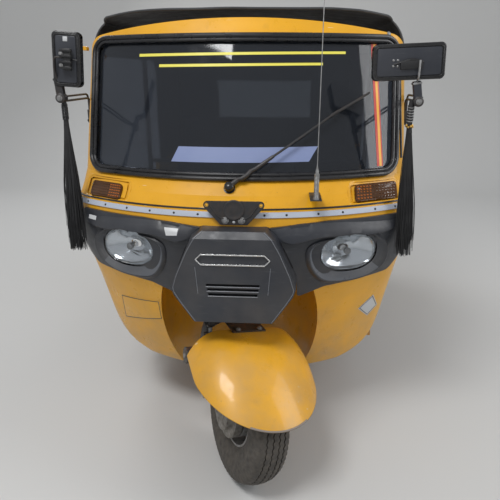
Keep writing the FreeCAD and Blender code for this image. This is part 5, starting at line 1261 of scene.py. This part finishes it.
def mirror_arm(piece, side, x, top, low_x, low):
    """One clamp with its hub, the two wires of its arm and the foot that holds them."""
    clamp = moved(at(x, 0.078, top)) @ Matrix.Rotation(math.atan2(x - low_x, top - low), 4, "Y")
    finish = "tube" if side < 0 else "back_moulding"
    piece.add(block((-0.0135, -0.013, low - top), (0.0135, 0.013, 0.0), 0.004, 3), finish, clamp)
    piece.add(block((-0.015, -0.0145, -0.011), (0.015, 0.0145, -0.004), 0.0015), "zinc" if side > 0 else finish, clamp)
    hub = moved(at(low_x, 0.060, low - 0.004))
    piece.add(lathe([(0, 0), (0, 0.012), (0.004, 0.017), (0.034, 0.017), (0.040, 0.012), (0.040, 0)], 24), "tube",
              hub @ BACKWARD)
    piece.add(hexagon_bolt(0.0068, 0.006), "zinc", hub @ FORWARD)
    for drop, spread in ((0.006, 0.0), (-0.010, 0.006)):
        far = side * (ARM_X - spread)
        wire_line = [at(low_x, 0.085, low + drop * 0.3), at(far, 0.150, ARM_HEIGHT + drop),
                     at(far, ARM_FOOT, ARM_HEIGHT + drop), at(far, ARM_FOOT, ARM_HEIGHT - 0.095)]
        piece.add(sweep(rounded(wire_line, 0.03), 0.0042, 8), "tube")
    near, far = sorted((side * 0.622, side * (ARM_X + 0.005)))
    piece.add(block(at(near, ARM_FOOT - 0.016, ARM_HEIGHT - 0.112),
                    at(far, ARM_FOOT + 0.016, ARM_HEIGHT - 0.056), 0.004), "tube")
    piece.add(lathe([(-0.009, 0), (-0.007, 0.006), (0, 0.009), (0.007, 0.006), (0.009, 0)], 16), "rubber",
              moved(at(side * (ARM_X - 0.004), ARM_FOOT - 0.022, ARM_HEIGHT - 0.100)) @ BACKWARD)


def make_mirrors():
    """Mirrors with their brackets, clamps and wire arms."""
    piece = Piece("mirror_units", "chassis", "gloss_plastic", "back_moulding", "mirror", "tube", "zinc", "back_black",
                  "white_label", "rubber")
    left_bracket(piece, mirror_head(piece, *MIRRORS[0]))
    right_bracket(piece, mirror_head(piece, *MIRRORS[1]))
    for side, clamp in zip((-1, 1), CLAMPS):
        mirror_arm(piece, side, *clamp)
    return piece.done(["mirrors"])


# Each tassel: x, top, low end, drift aside, spread and the seed of its strands
TASSELS = ((-0.627, 1.425, 0.870, -0.006, 0.042, 3), (0.603, 1.425, 0.875, 0.022, 0.036, 11))
HAIR_COUNT = 300
HAIR_STATION = 0.085


def make_tassels():
    """Hair tassels: a cord, thread bindings, beads and loose strands that fan out as they hang."""
    piece = Piece("hair_tassels", "chassis", "hair", "gloss_plastic", "brass", "zinc")
    for x, top, low, drift, spread, seed in TASSELS:
        chance = random.Random(seed)
        right = x > 0
        neck = top - (0.075 if right else 0.055)
        piece.add(sweep([at(x, HAIR_STATION, z) for z in (top + 0.018, top - 0.02, neck - 0.02)], 0.0085, 12,
                        lambda t: 0.9 + 0.3 * math.sin(3 * t)), "hair")
        for i in range(12):
            z = top - 0.004 - i * 0.0046
            angles = [2 * math.pi * k / 16 for k in range(17)]
            ring = [at(x + 0.0098 * math.cos(a), HAIR_STATION + 0.0098 * math.sin(a), z + 0.0018 * math.sin(a))
                    for a in angles]
            piece.add(sweep(ring, 0.0020, 6), "zinc" if right and i % 2 else "gloss_plastic")
        for k in range(9 if right else 0):
            angle = 2 * math.pi * k / 9
            bead = at(x + 0.011 * math.cos(angle), HAIR_STATION + 0.011 * math.sin(angle), neck + 0.003 * (k % 3))
            piece.add(lathe([(-0.0042, 0), (-0.003, 0.003), (0, 0.0043), (0.003, 0.003), (0.0042, 0)], 10), "brass",
                      moved(bead))
        for i in range(HAIR_COUNT):
            angle = chance.uniform(0, 2 * math.pi)
            reach = math.sqrt(chance.random())
            width = spread * chance.uniform(0.72, 1.0)
            end = low + 0.13 * chance.random() ** 2.2
            phase, wave = chance.uniform(0, 6.28), chance.uniform(0.0008, 0.0030)
            line = []
            for k in range(13):
                t = k / 12
                fan = 0.0075 + (width - 0.0075) * math.sin(min(1.0, 1.05 * t) * math.pi / 2) ** 1.25
                across = drift * t + reach * fan * math.cos(angle) + wave * t * math.sin(9 * t + phase)
                back = 0.55 * reach * fan * math.sin(angle) + wave * t * math.cos(8 * t + phase)
                line.append(at(x + across, HAIR_STATION + back, neck + (end - neck) * t))
            piece.add(sweep(line, 0.0017, 4, lambda t: 1 - 0.55 * t), "hair")
    return piece.done(["tassels"], 80.0)


# Springs
def coil(low, high, radius, wire_radius, turns):
    """A coil spring's centre line between two points, its end turns closed up."""
    line = high - low
    across = line.orthogonal().normalized()
    other = line.normalized().cross(across)
    closed = 2 * wire_radius * 1.04
    spots = []
    for i in range((turns + 2) * 14 + 1):
        turn = i / 14
        if turn < 1:
            height = turn * closed
        elif turn > turns + 1:
            height = line.length - (turns + 2 - turn) * closed
        else:
            height = closed + (turn - 1) / turns * (line.length - 2 * closed)
        angle = 2 * math.pi * turn
        spots.append(low + line.normalized() * height + (across * math.cos(angle) + other * math.sin(angle)) * radius)
    return spots


def damper(piece, start, end, turns, place=Matrix()):
    """A coil-over damper between two rubber-bushed eyes along x."""
    line, span = (end - start).normalized(), (end - start).length
    turn = place @ facing(start, line)
    piece.add(lathe([(0.020, 0), (0.020, 0.016), (span * 0.50, 0.016), (span * 0.51, 0.013), (span * 0.52, 0)], 20),
              "tube", turn)
    rod = [(span * 0.45, 0), (span * 0.45, 0.0075), (span - 0.02, 0.0075), (span - 0.02, 0)]
    piece.add(lathe(rod, 16), "zinc", turn)
    for seat, flip in ((span * 0.16, 1), (span * 0.86, -1)):
        rows = [(seat, 0.010), (seat, 0.027), (seat + 0.003 * flip, 0.028), (seat + 0.004 * flip, 0.010)]
        piece.add(lathe(rows, 24, True), "tube", turn)
    wire_line = coil(start + line * span * 0.175, start + line * span * 0.845, 0.0215, 0.0048, turns)
    piece.add(sweep(wire_line, 0.0048, 8), "tube", place)
    for eye in (start, end):
        for half, inner, outer, steps, finish in ((0.0128, 0.0095, 0.0175, 24, "tube"),
                                                  (0.0140, 0.0092, 0.0135, 20, "rubber")):
            rows = [(-half, inner), (-half, outer), (half, outer), (half, inner)]
            piece.add(lathe(rows, steps, True), finish, place @ moved(eye))


def ahead(across, lead, up):
    """A place by its distance ahead of the steering axis at the axle's height, drawn straight ahead."""
    return at(across, -lead, up)


# The front damper's eyes: across, lead and height; the rear eyes: across, station and both heights
FRONT_EYES = ((-0.140, 0.034, 0.322), (-0.140, -0.060, 0.590))
REAR_EYES = (0.389, 2.0, 0.330, 0.560)
COIL_TURNS = 7


def make_dampers():
    """The front damper turns with the steering; the rear pair stays with the body."""
    front = Piece("front_damper", "steering", "tube", "zinc", "rubber")
    damper(front, ahead(*FRONT_EYES[0]), ahead(*FRONT_EYES[1]), COIL_TURNS, STEERED)
    front.done(["front_spring"])
    rear = Piece("rear_dampers", "chassis", "tube", "zinc", "rubber")
    x, station, low, high = REAR_EYES
    for side in (-1, 1):
        damper(rear, at(side * x, station, low), at(side * x, station, high), COIL_TURNS)
    rear.done(["rear_shocks"])


# The fender's edge rises towards the back from one place: its height, its lead and its slope
EDGE_HEIGHT = 0.388
EDGE_LEAD = 0.380
EDGE_SLOPE = math.tan(math.radians(12))
EDGE_TRIES = 4


def make_fender_trim():
    """The fender's rolled lip and its two top bolts."""
    piece = Piece("fender_fittings", "steering", "worn_lip", "zinc")
    tree = skin("front_fender")
    line = []
    for i in range(-60, 61):
        angle = math.radians(i * 1.6)
        direction = Vector((math.sin(angle), -math.cos(angle), 0))
        level = EDGE_HEIGHT + 0.005
        edge = None
        for _ in range(EDGE_TRIES):
            start = STEERED @ (ahead(0, 0.10, level + 0.002) + direction * 0.6)
            place, normal = tree.ray_cast(start, STEERED.to_3x3() @ -direction, 0.52)[:2]
            if place is None:
                break
            edge = place + normal.normalized() * 0.0004
            lead = STATION - (STEERED.inverted() @ place).y
            level = EDGE_HEIGHT + (EDGE_LEAD - lead) * EDGE_SLOPE
        if edge is not None:
            line.append(edge)
    piece.add(sweep(line, 0.0034, 8), "worn_lip")
    for across in (-0.045, 0.045):
        piece.add(hexagon_bolt(0.008, 0.007), "zinc", STEERED @ moved(ahead(across, 0.0, 0.5845)) @ UPWARD)
    return piece.done()


# The strip on the cowl's back edge: its two stations, its foot and top, its steps and its rivets
STRIP_STATIONS = (0.466, 0.486)
STRIP_RISE = (0.42, 1.06)
STRIP_STEPS = 32
STRIP_RIVET_COUNT = 5


def side_strip(side):
    """The rows of places of the strip laid on the cowl's side: inner and outer, front and back."""
    tree = skin("front_cowl", "windscreen_surround")
    into, out = Vector((side * -0.001, 0, 0)), Vector((side * 0.0018, 0, 0))
    rows = []
    for k in range(STRIP_STEPS + 1):
        z = STRIP_RISE[0] + (STRIP_RISE[1] - STRIP_RISE[0]) * k / STRIP_STEPS
        row = [tree.ray_cast(at(side * 1.2, station, z), Vector((-side, 0, 0)))[0] for station in STRIP_STATIONS]
        if all(hit is not None and abs(hit.x) > 0.5 for hit in row):
            front, back = row
            rows.append([front + into, front + out, back + out, back + into])
    return rows


def make_flanges():
    """The riveted edges at the cowl's back, the folded corners over them and the rod on the left pillar."""
    piece = Piece("edge_trim", "chassis", "yellow", "zinc", "rubber")
    fold = [(0, 0), (0.030, 0.002), (0.036, 0.010), (0.012, 0.017), (0.0, 0.014)]
    for side in (-1, 1):
        rows = side_strip(side)
        piece.add(lofted(rows, ends=(0, -1)), "yellow")
        for k in range(STRIP_RIVET_COUNT):
            row = rows[2 + (len(rows) - 5) * k // (STRIP_RIVET_COUNT - 1)]
            piece.add(dome(0.0052, 0.003, 12), "zinc", facing((row[1] + row[2]) / 2, (side, 0, 0)))
        corner = plate([(side * x, z) for x, z in fold], 0.030, 0.0012, 1)
        piece.add(corner, "yellow", moved(at(side * 0.622, 0.345, 1.612)))
    rod = [(0.600 + 0.014 * i / 12, 1.545 - 0.33 * i / 12) for i in range(13)]
    piece.add(sweep(laid(rod, None, 0.010), 0.0045, 8), "rubber")
    return piece.done()


make_mirrors()
make_tassels()
make_dampers()
make_fender_trim()
make_flanges()
make_decals()
make_headlamps()
make_turn_lamps()
make_lamp_mouldings()
make_seal()
make_wiper()
make_front_trim()
make_antenna()


# Roof
ROOF_HALF = 0.646
ROOF_ROUND = (0.092, 0.19, 0.115)
ROOF_TOP = 1.780
ROOF_LOW = 0.9853
ROOF_END = 2.350
# The top's height where it starts, how far it rises to the first hoop and falls behind it
FRONT_START = 0.245
FRONT_HEIGHT = 1.748
FRONT_RISE = 0.036
HOOP_FALL = 0.004
CROWN_BEND = 6.8
CROWN_SOFT = 0.006
# Between the hoops: front, back and depth of each sag, and its half width
SAGS = ((0.42, 1.22, 0.007), (1.22, 2.23, 0.010))
SAG_HALF = 0.58
# The tail wall: its station at the top, how far it leans back and over what drop
TAIL_TOP = 2.340
TAIL_LEAN = 0.060
TAIL_DROP = 0.795
# The front edge: its station, the radius of its bow and the half width of that bow
BOW_FRONT = 0.265
BOW_RADIUS = 1.1
BOW_HALF = 0.55
BOW_END = 0.505
SKIRT = 1.600
QUARTER = 1.570
QUARTER_ROUND = 3
TAIL_WINDOW = (0.360, 1.190, 1.470)
HOOPS = (1.22, 2.23)


def spread_over(stops, counts):
    """Numbers from the first stop to the last, each stretch in equal steps."""
    numbers = [stops[0]]
    for low, high, count in zip(stops, stops[1:], counts):
        numbers += [low + (high - low) * i / count for i in range(1, count + 1)]
    return numbers


def roof_top(x, station):
    """The roof's height: its crown, held down at the front, sagging between the hoops."""
    if station < HOOPS[0]:
        t = max(0.0, (station - FRONT_START) / (HOOPS[0] - FRONT_START))
        ridge = FRONT_HEIGHT + FRONT_RISE * math.sin(t * math.pi / 2)
    else:
        ridge = FRONT_HEIGHT + FRONT_RISE - HOOP_FALL * (station - HOOPS[0])
    crown = ROOF_TOP - x * x / CROWN_BEND
    height = min(ridge, crown) + CROWN_SOFT * (0.5 - math.log(1 + math.exp(-abs(ridge - crown) / CROWN_SOFT)))
    for low, high, depth in SAGS:
        if low < station < high:
            height -= depth * math.sin(math.pi * (station - low) / (high - low)) * max(0.0, 1 - (x / SAG_HALF) ** 2)
    return height


def roof_field(place):
    """Below 0 inside the roof's form and above 0 outside."""
    x, station, z = place
    rx, ry, rz = ROOF_ROUND
    tail = TAIL_TOP + TAIL_LEAN * (ROOF_TOP - z) / TAIL_DROP
    over = (max(0.0, (abs(x) - ROOF_HALF + rx) / rx), max(0.0, (station - tail + ry) / ry),
            max(0.0, (z - roof_top(x, station) + rz) / rz))
    return math.sqrt(sum(value * value for value in over)) - 1


def onto_roof(x, station, z):
    """The nearest place on the roof's form."""
    place = Vector((x, station, z))
    for _ in range(7):
        value = roof_field(place)
        if abs(value) < 1e-4:
            break
        slope = Vector([(roof_field(place + Vector([0.0005 if i == k else 0 for i in range(3)])) - value) / 0.0005
                        for k in range(3)])
        if slope.length < 1e-6:
            break
        place -= slope * (value / slope.length_squared)
    return place


def front_edge(x):
    """The station of the roof's front edge."""
    reach = abs(x)
    bow = BOW_FRONT + BOW_RADIUS - math.sqrt(BOW_RADIUS ** 2 - min(reach, BOW_HALF) ** 2)
    if reach > BOW_HALF:
        bow += (BOW_END - bow) * ((reach - BOW_HALF) / (ROOF_HALF - BOW_HALF)) ** 1.5
    return bow


def roof_cloth():
    """The roof as one curved sheet: top, tail wall and rear quarters, with the window left open."""
    shape = bmesh.new()
    known = {}

    def corner(x, station, z):
        key = (round(x, 4), round(station, 4), round(z, 4))
        if key not in known:
            known[key] = shape.verts.new(onto_roof(x, station, z))
        return known[key]

    window, sill, head = TAIL_WINDOW
    across = spread_over((-ROOF_HALF, -window, window, ROOF_HALF), (11, 24, 11))
    turn_share = (QUARTER - BOW_END) / (ROOF_END - BOW_END)
    shares = spread_over((0.0, turn_share, 1.0), (32, 26))
    down = spread_over((ROOF_TOP, SKIRT, head, sill, ROOF_LOW), (6, 4, 9, 7))

    def roof_row(x, share):
        start = front_edge(x)
        return start + (ROOF_END - start) * share

    for x0, x1 in zip(across, across[1:]):
        for s0, s1 in zip(shares, shares[1:]):
            shape.faces.new([corner(x0, roof_row(x0, s0), ROOF_TOP), corner(x1, roof_row(x1, s0), ROOF_TOP),
                             corner(x1, roof_row(x1, s1), ROOF_TOP), corner(x0, roof_row(x0, s1), ROOF_TOP)])
        for z0, z1 in zip(down, down[1:]):
            middle_x, middle_z = (x0 + x1) / 2, (z0 + z1) / 2
            if abs(middle_x) < window and sill < middle_z < head:
                continue
            shape.faces.new([corner(x0, ROOF_END, z0), corner(x1, ROOF_END, z0), corner(x1, ROOF_END, z1),
                             corner(x0, ROOF_END, z1)])
    for side in (-ROOF_HALF, ROOF_HALF):
        for s0, s1 in zip(shares, shares[1:]):
            for z0, z1 in zip(down, down[1:]):
                if z1 < SKIRT - 0.001 and s0 < turn_share - 0.0001:
                    continue
                shape.faces.new([corner(side, roof_row(side, s0), z0), corner(side, roof_row(side, s1), z0),
                                 corner(side, roof_row(side, s1), z1), corner(side, roof_row(side, s0), z1)])
        turn = min(range(len(shares)), key=lambda i: abs(shares[i] - turn_share))
        skirt = [roof_row(side, shares[turn - i]) for i in range(QUARTER_ROUND + 1)]
        start = down.index(SKIRT)
        edge = [down[start + i] for i in range(QUARTER_ROUND + 1)]
        ring = [corner(side, station, SKIRT) for station in skirt]
        centre = (skirt[-1], edge[-1])
        for i in range(1, 6):
            angle = math.radians(90 * i / 6)
            ring.append(corner(side, centre[0] + (QUARTER - centre[0]) * math.sin(angle),
                               centre[1] + (SKIRT - centre[1]) * math.cos(angle)))
        ring += [corner(side, QUARTER, z) for z in reversed(edge[1:])]
        face = shape.faces.new(ring)
        bmesh.ops.triangulate(shape, faces=[face])
    bmesh.ops.remove_doubles(shape, verts=shape.verts, dist=0.0015)
    outward(shape)
    if sum(face.normal.z for face in shape.faces if face.calc_center_median().z > 1.7) < 0:
        bmesh.ops.reverse_faces(shape, faces=shape.faces)
    for vert in shape.verts:
        p = vert.co
        lift = 0.0022 * noise.noise(p * 5.0) + 0.0012 * noise.noise(Vector((p.x * 9, p.y * 24, p.z * 9)))
        lift += 0.0035 * noise.noise(Vector((p.x * 3, p.y * 3, p.z * 11))) * (1 if p.z < 1.6 else 0)
        vert.co = p + vert.normal * lift
    bmesh.ops.translate(shape, vec=(0, STATION, 0), verts=shape.verts)
    return shape


def border_lines(shape):
    """The open edges of a sheet as closed lines of points."""
    left = dict.fromkeys(edge for edge in shape.edges if edge.is_boundary)
    lines = []
    while left:
        line = list(left.popitem()[0].verts)
        while True:
            following = [e for e in line[-1].link_edges if e in left]
            if not following:
                break
            del left[following[0]]
            line.append(following[0].other_vert(line[-1]))
        lines.append([vert.co.copy() for vert in line])
    return lines


def make_tail_sheet():
    """The clear sheet in the tail, with its ripples."""
    window, sill, head = TAIL_WINDOW
    film = Piece("tail_sheet", "chassis", "sheet")
    rows = []
    for z in spread_over((sill - 0.012, head + 0.012), (20,)):
        row = []
        for x in spread_over((-window - 0.012, window + 0.012), (40,)):
            place = onto_roof(x, ROOF_END, z)
            ripple = 0.0030 * noise.noise(Vector((x * 5, 0, z * 9)))
            row.append(at(place.x, place.y - 0.004 + ripple * 0.6, place.z))
        rows.append(row)
    film.add(lofted(rows, around=False), "sheet")
    made = film.done(["rear_window"], 80.0)


def make_roof():
    """The soft top with its hems, welts and studs, and the clear tail sheet."""
    shape = roof_cloth()
    lines = border_lines(shape)
    cloth = Piece("soft_top", "chassis", "canopy")
    cloth.add(shape, "canopy")
    hem = Piece("soft_top_hems", "chassis", "canopy", "rubber", "zinc")
    for line in lines:
        if len(line) > 8:
            hem.add(sweep(line, 0.0046, 8), "canopy")
    over = ([(-ROOF_HALF, z) for z in spread_over((1.62, 1.76), (4,))]
            + [(x, ROOF_TOP) for x in spread_over((-0.62, 0.62), (30,))]
            + [(ROOF_HALF, z) for z in spread_over((1.76, 1.62), (4,))])
    for station in HOOPS:
        welt = [at(*onto_roof(x, station, z)) + Vector((0, 0, 0.0012)) for x, z in over]
        hem.add(sweep(welt, 0.0036, 8), "canopy")
        hem.add(sweep([p + Vector((0, 0.016, -0.001)) for p in welt], 0.0012, 5), "rubber")
    for side in (-1, 1):
        welt = [(station, ROOF_TOP) for station in spread_over((BOW_END, 2.34), (40,))]
        welt += [(ROOF_END, z) for z in spread_over((1.70, 0.99), (18,))]
        hem.add(sweep([at(*onto_roof(side * ROOF_HALF, station, z)) for station, z in welt], 0.0036, 8), "canopy")
        for k in range(9):
            place = at(*onto_roof(side * ROOF_HALF, 0.62 + k * 0.105, 1.612))
            hem.add(dome(0.0055, 0.003, 12), "zinc", facing(place, (side, 0, 0)))
    for k in range(11):
        place = at(*onto_roof(-0.55 + k * 0.11, ROOF_END, 1.004))
        hem.add(dome(0.0055, 0.003, 12), "zinc", facing(place, (0, 1, 0)))
    hems = hem.done()
    top = cloth.done(["roof_canopy"], 60.0)
    make_tail_sheet()


# Cushions: voxel, how much smaller it starts, how far a point may move, fill, and where the sewn channels lie
CUSHIONS = {
    "passenger_cushion": (0.010, 0.011, 0.022, 0.75, (-0.30, 0.0, 0.30)),
    "passenger_backrest": (0.010, 0.010, 0.022, 0.7, (-0.30, 0.0, 0.30)),
    "driver_cushion": (0.007, 0.010, 0.020, 0.75, (-0.085, 0.085)),
    "driver_backrest": (0.007, 0.008, 0.016, 0.7, (-0.085, 0.085)),
}
CHANNEL_DEPTH = 0.009
CHANNEL_WIDTH = 0.009
FILL_PRESSURE = 4
FILL_STIFFNESS = 12
FILL_BENDING = 0.4
FILL_FRAMES = 20
# Where the channel across lies: share of a seat's depth and of a backrest's height
SEAT_CROSS = 0.34
BACK_CROSS = 0.68
PASSENGER_LEAN = -math.tan(math.radians(9))


def simulated(mesh, reach):
    """Fills the mesh with air pressure, no point moved further than reach."""
    made = linked("filling", mesh)
    cloth = made.modifiers.new("cloth", "CLOTH")
    cloth.settings.use_pressure = True
    cloth.settings.uniform_pressure_force = FILL_PRESSURE
    cloth.settings.tension_stiffness = FILL_STIFFNESS
    cloth.settings.compression_stiffness = FILL_STIFFNESS
    cloth.settings.bending_stiffness = FILL_BENDING
    cloth.settings.quality = 4
    cloth.settings.effector_weights.gravity = 0
    cloth.point_cache.frame_start = 1
    cloth.point_cache.frame_end = FILL_FRAMES
    for frame_number in range(1, FILL_FRAMES + 1):
        bpy.context.scene.frame_set(frame_number)
    filled = made.evaluated_get(bpy.context.evaluated_depsgraph_get())
    moves = [after.co - before.co for before, after in zip(mesh.vertices, filled.to_mesh().vertices)]
    filled.to_mesh_clear()
    made.modifiers.remove(cloth)
    for vertex, move in zip(mesh.vertices, moves):
        vertex.co += move * min(1.0, reach / max(move.length, 1e-9))
    bpy.context.scene.frame_set(1)
    bpy.data.objects.remove(made)


def changed(mesh, kind, **settings):
    """The mesh with one modifier applied."""
    made = linked("working", mesh)
    modifier = made.modifiers.new("one", kind)
    for key, value in settings.items():
        setattr(modifier, key, value)
    result = bpy.data.meshes.new_from_object(made.evaluated_get(bpy.context.evaluated_depsgraph_get()))
    bpy.data.objects.remove(made)
    return result


def quilted(mesh, low, high, channels, flat):
    """Presses the sewn channels into the side that is sat on or leaned on."""
    middle, half = (low + high) / 2, (high - low) / 2
    cross = low.y + 2 * half.y * SEAT_CROSS if flat else low.z + 2 * half.z * BACK_CROSS

    def groove(gap):
        return math.exp(-(gap / CHANNEL_WIDTH) ** 2)

    facings = [vertex.normal.y for vertex in mesh.vertices]
    for vertex, facing_back in zip(mesh.vertices, facings):
        p = vertex.co
        if flat:
            p.z = max(p.z, low.z + 0.0003)
            shown = max(0.0, min(1.0, (p.z - middle.z) / (half.z * 0.6)))
        else:
            shown = max(0.0, min(1.0, facing_back * -1.4))
        dent = sum(groove(p.x - line) for line in channels) + 0.8 * groove((p.y if flat else p.z) - cross)
        if flat:
            p.z -= CHANNEL_DEPTH * dent * shown
        else:
            p.y += CHANNEL_DEPTH * dent * shown


def piping_line(tree, low, high, flat, lean):
    """Places round the cushion's widest line."""
    middle, half = (low + high) / 2, (high - low) / 2
    line = []
    for i in range(97):
        c, s = math.cos(2 * math.pi * i / 96), math.sin(2 * math.pi * i / 96)
        if flat:
            heading = Vector((c * half.x, s * half.y, 0)).normalized()
            origin = middle + Vector((0, 0, half.z * 0.45))
        else:
            heading = Vector((c * half.x, 0, s * half.z)).normalized()
            heading = Vector((heading.x, -heading.z * lean, heading.z)).normalized()
            origin = middle - Vector((0, half.y * 0.15, 0))
        place, normal = tree.ray_cast(origin, heading)[:2]
        if place is not None:
            line.append(place + normal * 0.001)
    return line


def make_cushion(node_name):
    """A filled cushion in its solid's place, with sewn channels and piping."""
    voxel, shrink, reach, fill, channels = CUSHIONS[node_name]
    low, high = (Vector(corner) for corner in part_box(node_name))
    middle, half = (low + high) / 2, (high - low) / 2
    mesh = NODES[node_name].data.copy()
    mesh.materials.clear()
    for vertex in mesh.vertices:
        away = vertex.co - middle
        vertex.co = middle + Vector([away[i] * (half[i] - shrink) / half[i] for i in range(3)])
    mesh = changed(mesh, "REMESH", mode="VOXEL", voxel_size=voxel)
    simulated(mesh, reach)
    mesh = changed(mesh, "SUBSURF", levels=1, render_levels=1)
    flat = "backrest" not in node_name
    quilted(mesh, low, high, channels, flat)
    shape = bmesh.new()
    shape.from_mesh(mesh)
    bpy.data.meshes.remove(mesh)
    lean = 0.0 if "driver" in node_name else PASSENGER_LEAN
    pipe = piping_line(BVHTree.FromBMesh(shape), low, high, flat, lean)
    piece = Piece(node_name + "_cover", "chassis", "seat", "piping")
    piece.add(shape, "seat")
    piece.add(sweep(pipe, 0.0042, 8), "piping")
    made = piece.done([node_name], 70.0)


# Cab
BAR_HEIGHT = 1.030
# The bar's grip ends and elbows: across and back
GRIP_END = (0.300, 0.200)
BAR_ELBOW = (0.150, 0.034)
FLOOR_TOP = 0.344
MAT_RIBS = 23
MAT_SPACING = 0.04
# The front and back stations of the two mats
MATS = ((0.56, 0.79), (1.25, 1.49))


def make_bar_parts():
    """Ribbed grips, levers and switch pods on the handlebar."""
    piece = Piece("handlebar_fittings", "steering", "rubber", "zinc", "back_black")
    back = Vector((0, STEER_AXIS.z, -STEER_AXIS.y))
    centre = STEER_POINT + STEER_AXIS * ((BAR_HEIGHT - STEER_POINT.z) / STEER_AXIS.z)
    grip = [(-0.004, 0), (-0.004, 0.021), (0.001, 0.0225)]
    for i in range(22):
        grip += [(0.004 + i * 0.005, 0.0195), (0.0062 + i * 0.005, 0.0184)]
    grip += [(0.116, 0.0235), (0.121, 0.0235), (0.122, 0.017)]
    for side in (-1, 1):
        end, elbow = (centre + Vector((side * x, 0, 0)) + back * far for x, far in (GRIP_END, BAR_ELBOW))
        line = (elbow - end).normalized()
        piece.add(lathe(grip, 24), "rubber", STEERED @ facing(end, line))
        piece.add(lathe([(-0.022, 0.012), (-0.020, 0.024), (0.018, 0.025), (0.022, 0.012)], 20, True), "back_black",
                  STEERED @ facing(end + line * 0.150, line))
        out = line.cross(STEER_AXIS).normalized()
        if out.y > 0:
            out = -out
        lever = [end + line * far + out * reach
                 for far, reach in ((0.150, 0.020), (0.120, 0.052), (0.060, 0.060), (0.0, 0.050))]
        piece.add(sweep(rounded(lever, 0.02), 0.0052, 8, lambda t: 1 - 0.25 * t), "zinc", STEERED)
    return piece.done()


def make_cab_trim():
    """Ribbed mats on the floor, for the driver and for the passengers."""
    piece = Piece("cab_fittings", "chassis", "rubber")
    for k in range(MAT_RIBS):
        x = (k - MAT_RIBS // 2) * MAT_SPACING
        for front, back in MATS:
            piece.add(block(at(x - 0.006, front, FLOOR_TOP + 0.0004), at(x + 0.006, back, FLOOR_TOP + 0.0030),
                            0.0012, 1), "rubber")
    return piece.done()


# Tail lamp ribs: how many, how many upper ones are amber, the lowest one's height and the step up
TAIL_RIBS = 15
AMBER_RIBS = 4
RIB_LOW = 0.682
RIB_STEP = 0.0076
RIB_SPAN = (0.498, 0.582)
LATCHES = ((-0.30, 0.52), (0.30, 0.52))
PULL = (0, 0.505)


def make_tail_trim():
    """Ribs across the tail lamps' lenses."""
    piece = Piece("tail_fittings", "chassis", "red", "dark_amber")
    lamps = skin("tail_lamps")
    for side in (-1, 1):
        for i in range(TAIL_RIBS):
            line = []
            for x in spread_over(RIB_SPAN, (10,)):
                place, normal = on_tail(side * x, RIB_LOW + i * RIB_STEP, lamps)
                if place is not None:
                    line.append(place + normal * 0.0006)
            if len(line) > 3:
                piece.add(sweep(line, 0.0023, 6), "dark_amber" if i >= TAIL_RIBS - AMBER_RIBS else "red")
    return piece.done()


def make_hatch_trim():
    """Two turn latches and the pull on the engine hatch."""
    piece = Piece("hatch_fittings", "engine_lid", "zinc", "gloss_plastic")
    lid = skin("engine_hatch")
    for spot_on_lid in LATCHES:
        latch = facing(*on_tail(*spot_on_lid, lid))
        piece.add(lathe([(0, 0), (0, 0.020), (0.003, 0.019), (0.004, 0.010), (0.010, 0.009), (0.011, 0)], 24), "zinc",
                  latch)
        piece.add(block((-0.002, -0.016, -0.004), (0.014, 0.016, 0.004), 0.002), "gloss_plastic", latch)
    pull = [(0, -0.055, 0), (0.022, -0.050, 0), (0.026, -0.030, 0), (0.026, 0.030, 0), (0.022, 0.050, 0), (0, 0.055, 0)]
    piece.add(sweep(rounded(pull, 0.01), 0.0048, 8), "zinc", facing(*on_tail(*PULL, lid)))
    return piece.done()


make_roof()
for cushion_name in CUSHIONS:
    make_cushion(cushion_name)
make_bar_parts()
make_cab_trim()
make_tail_trim()
make_hatch_trim()
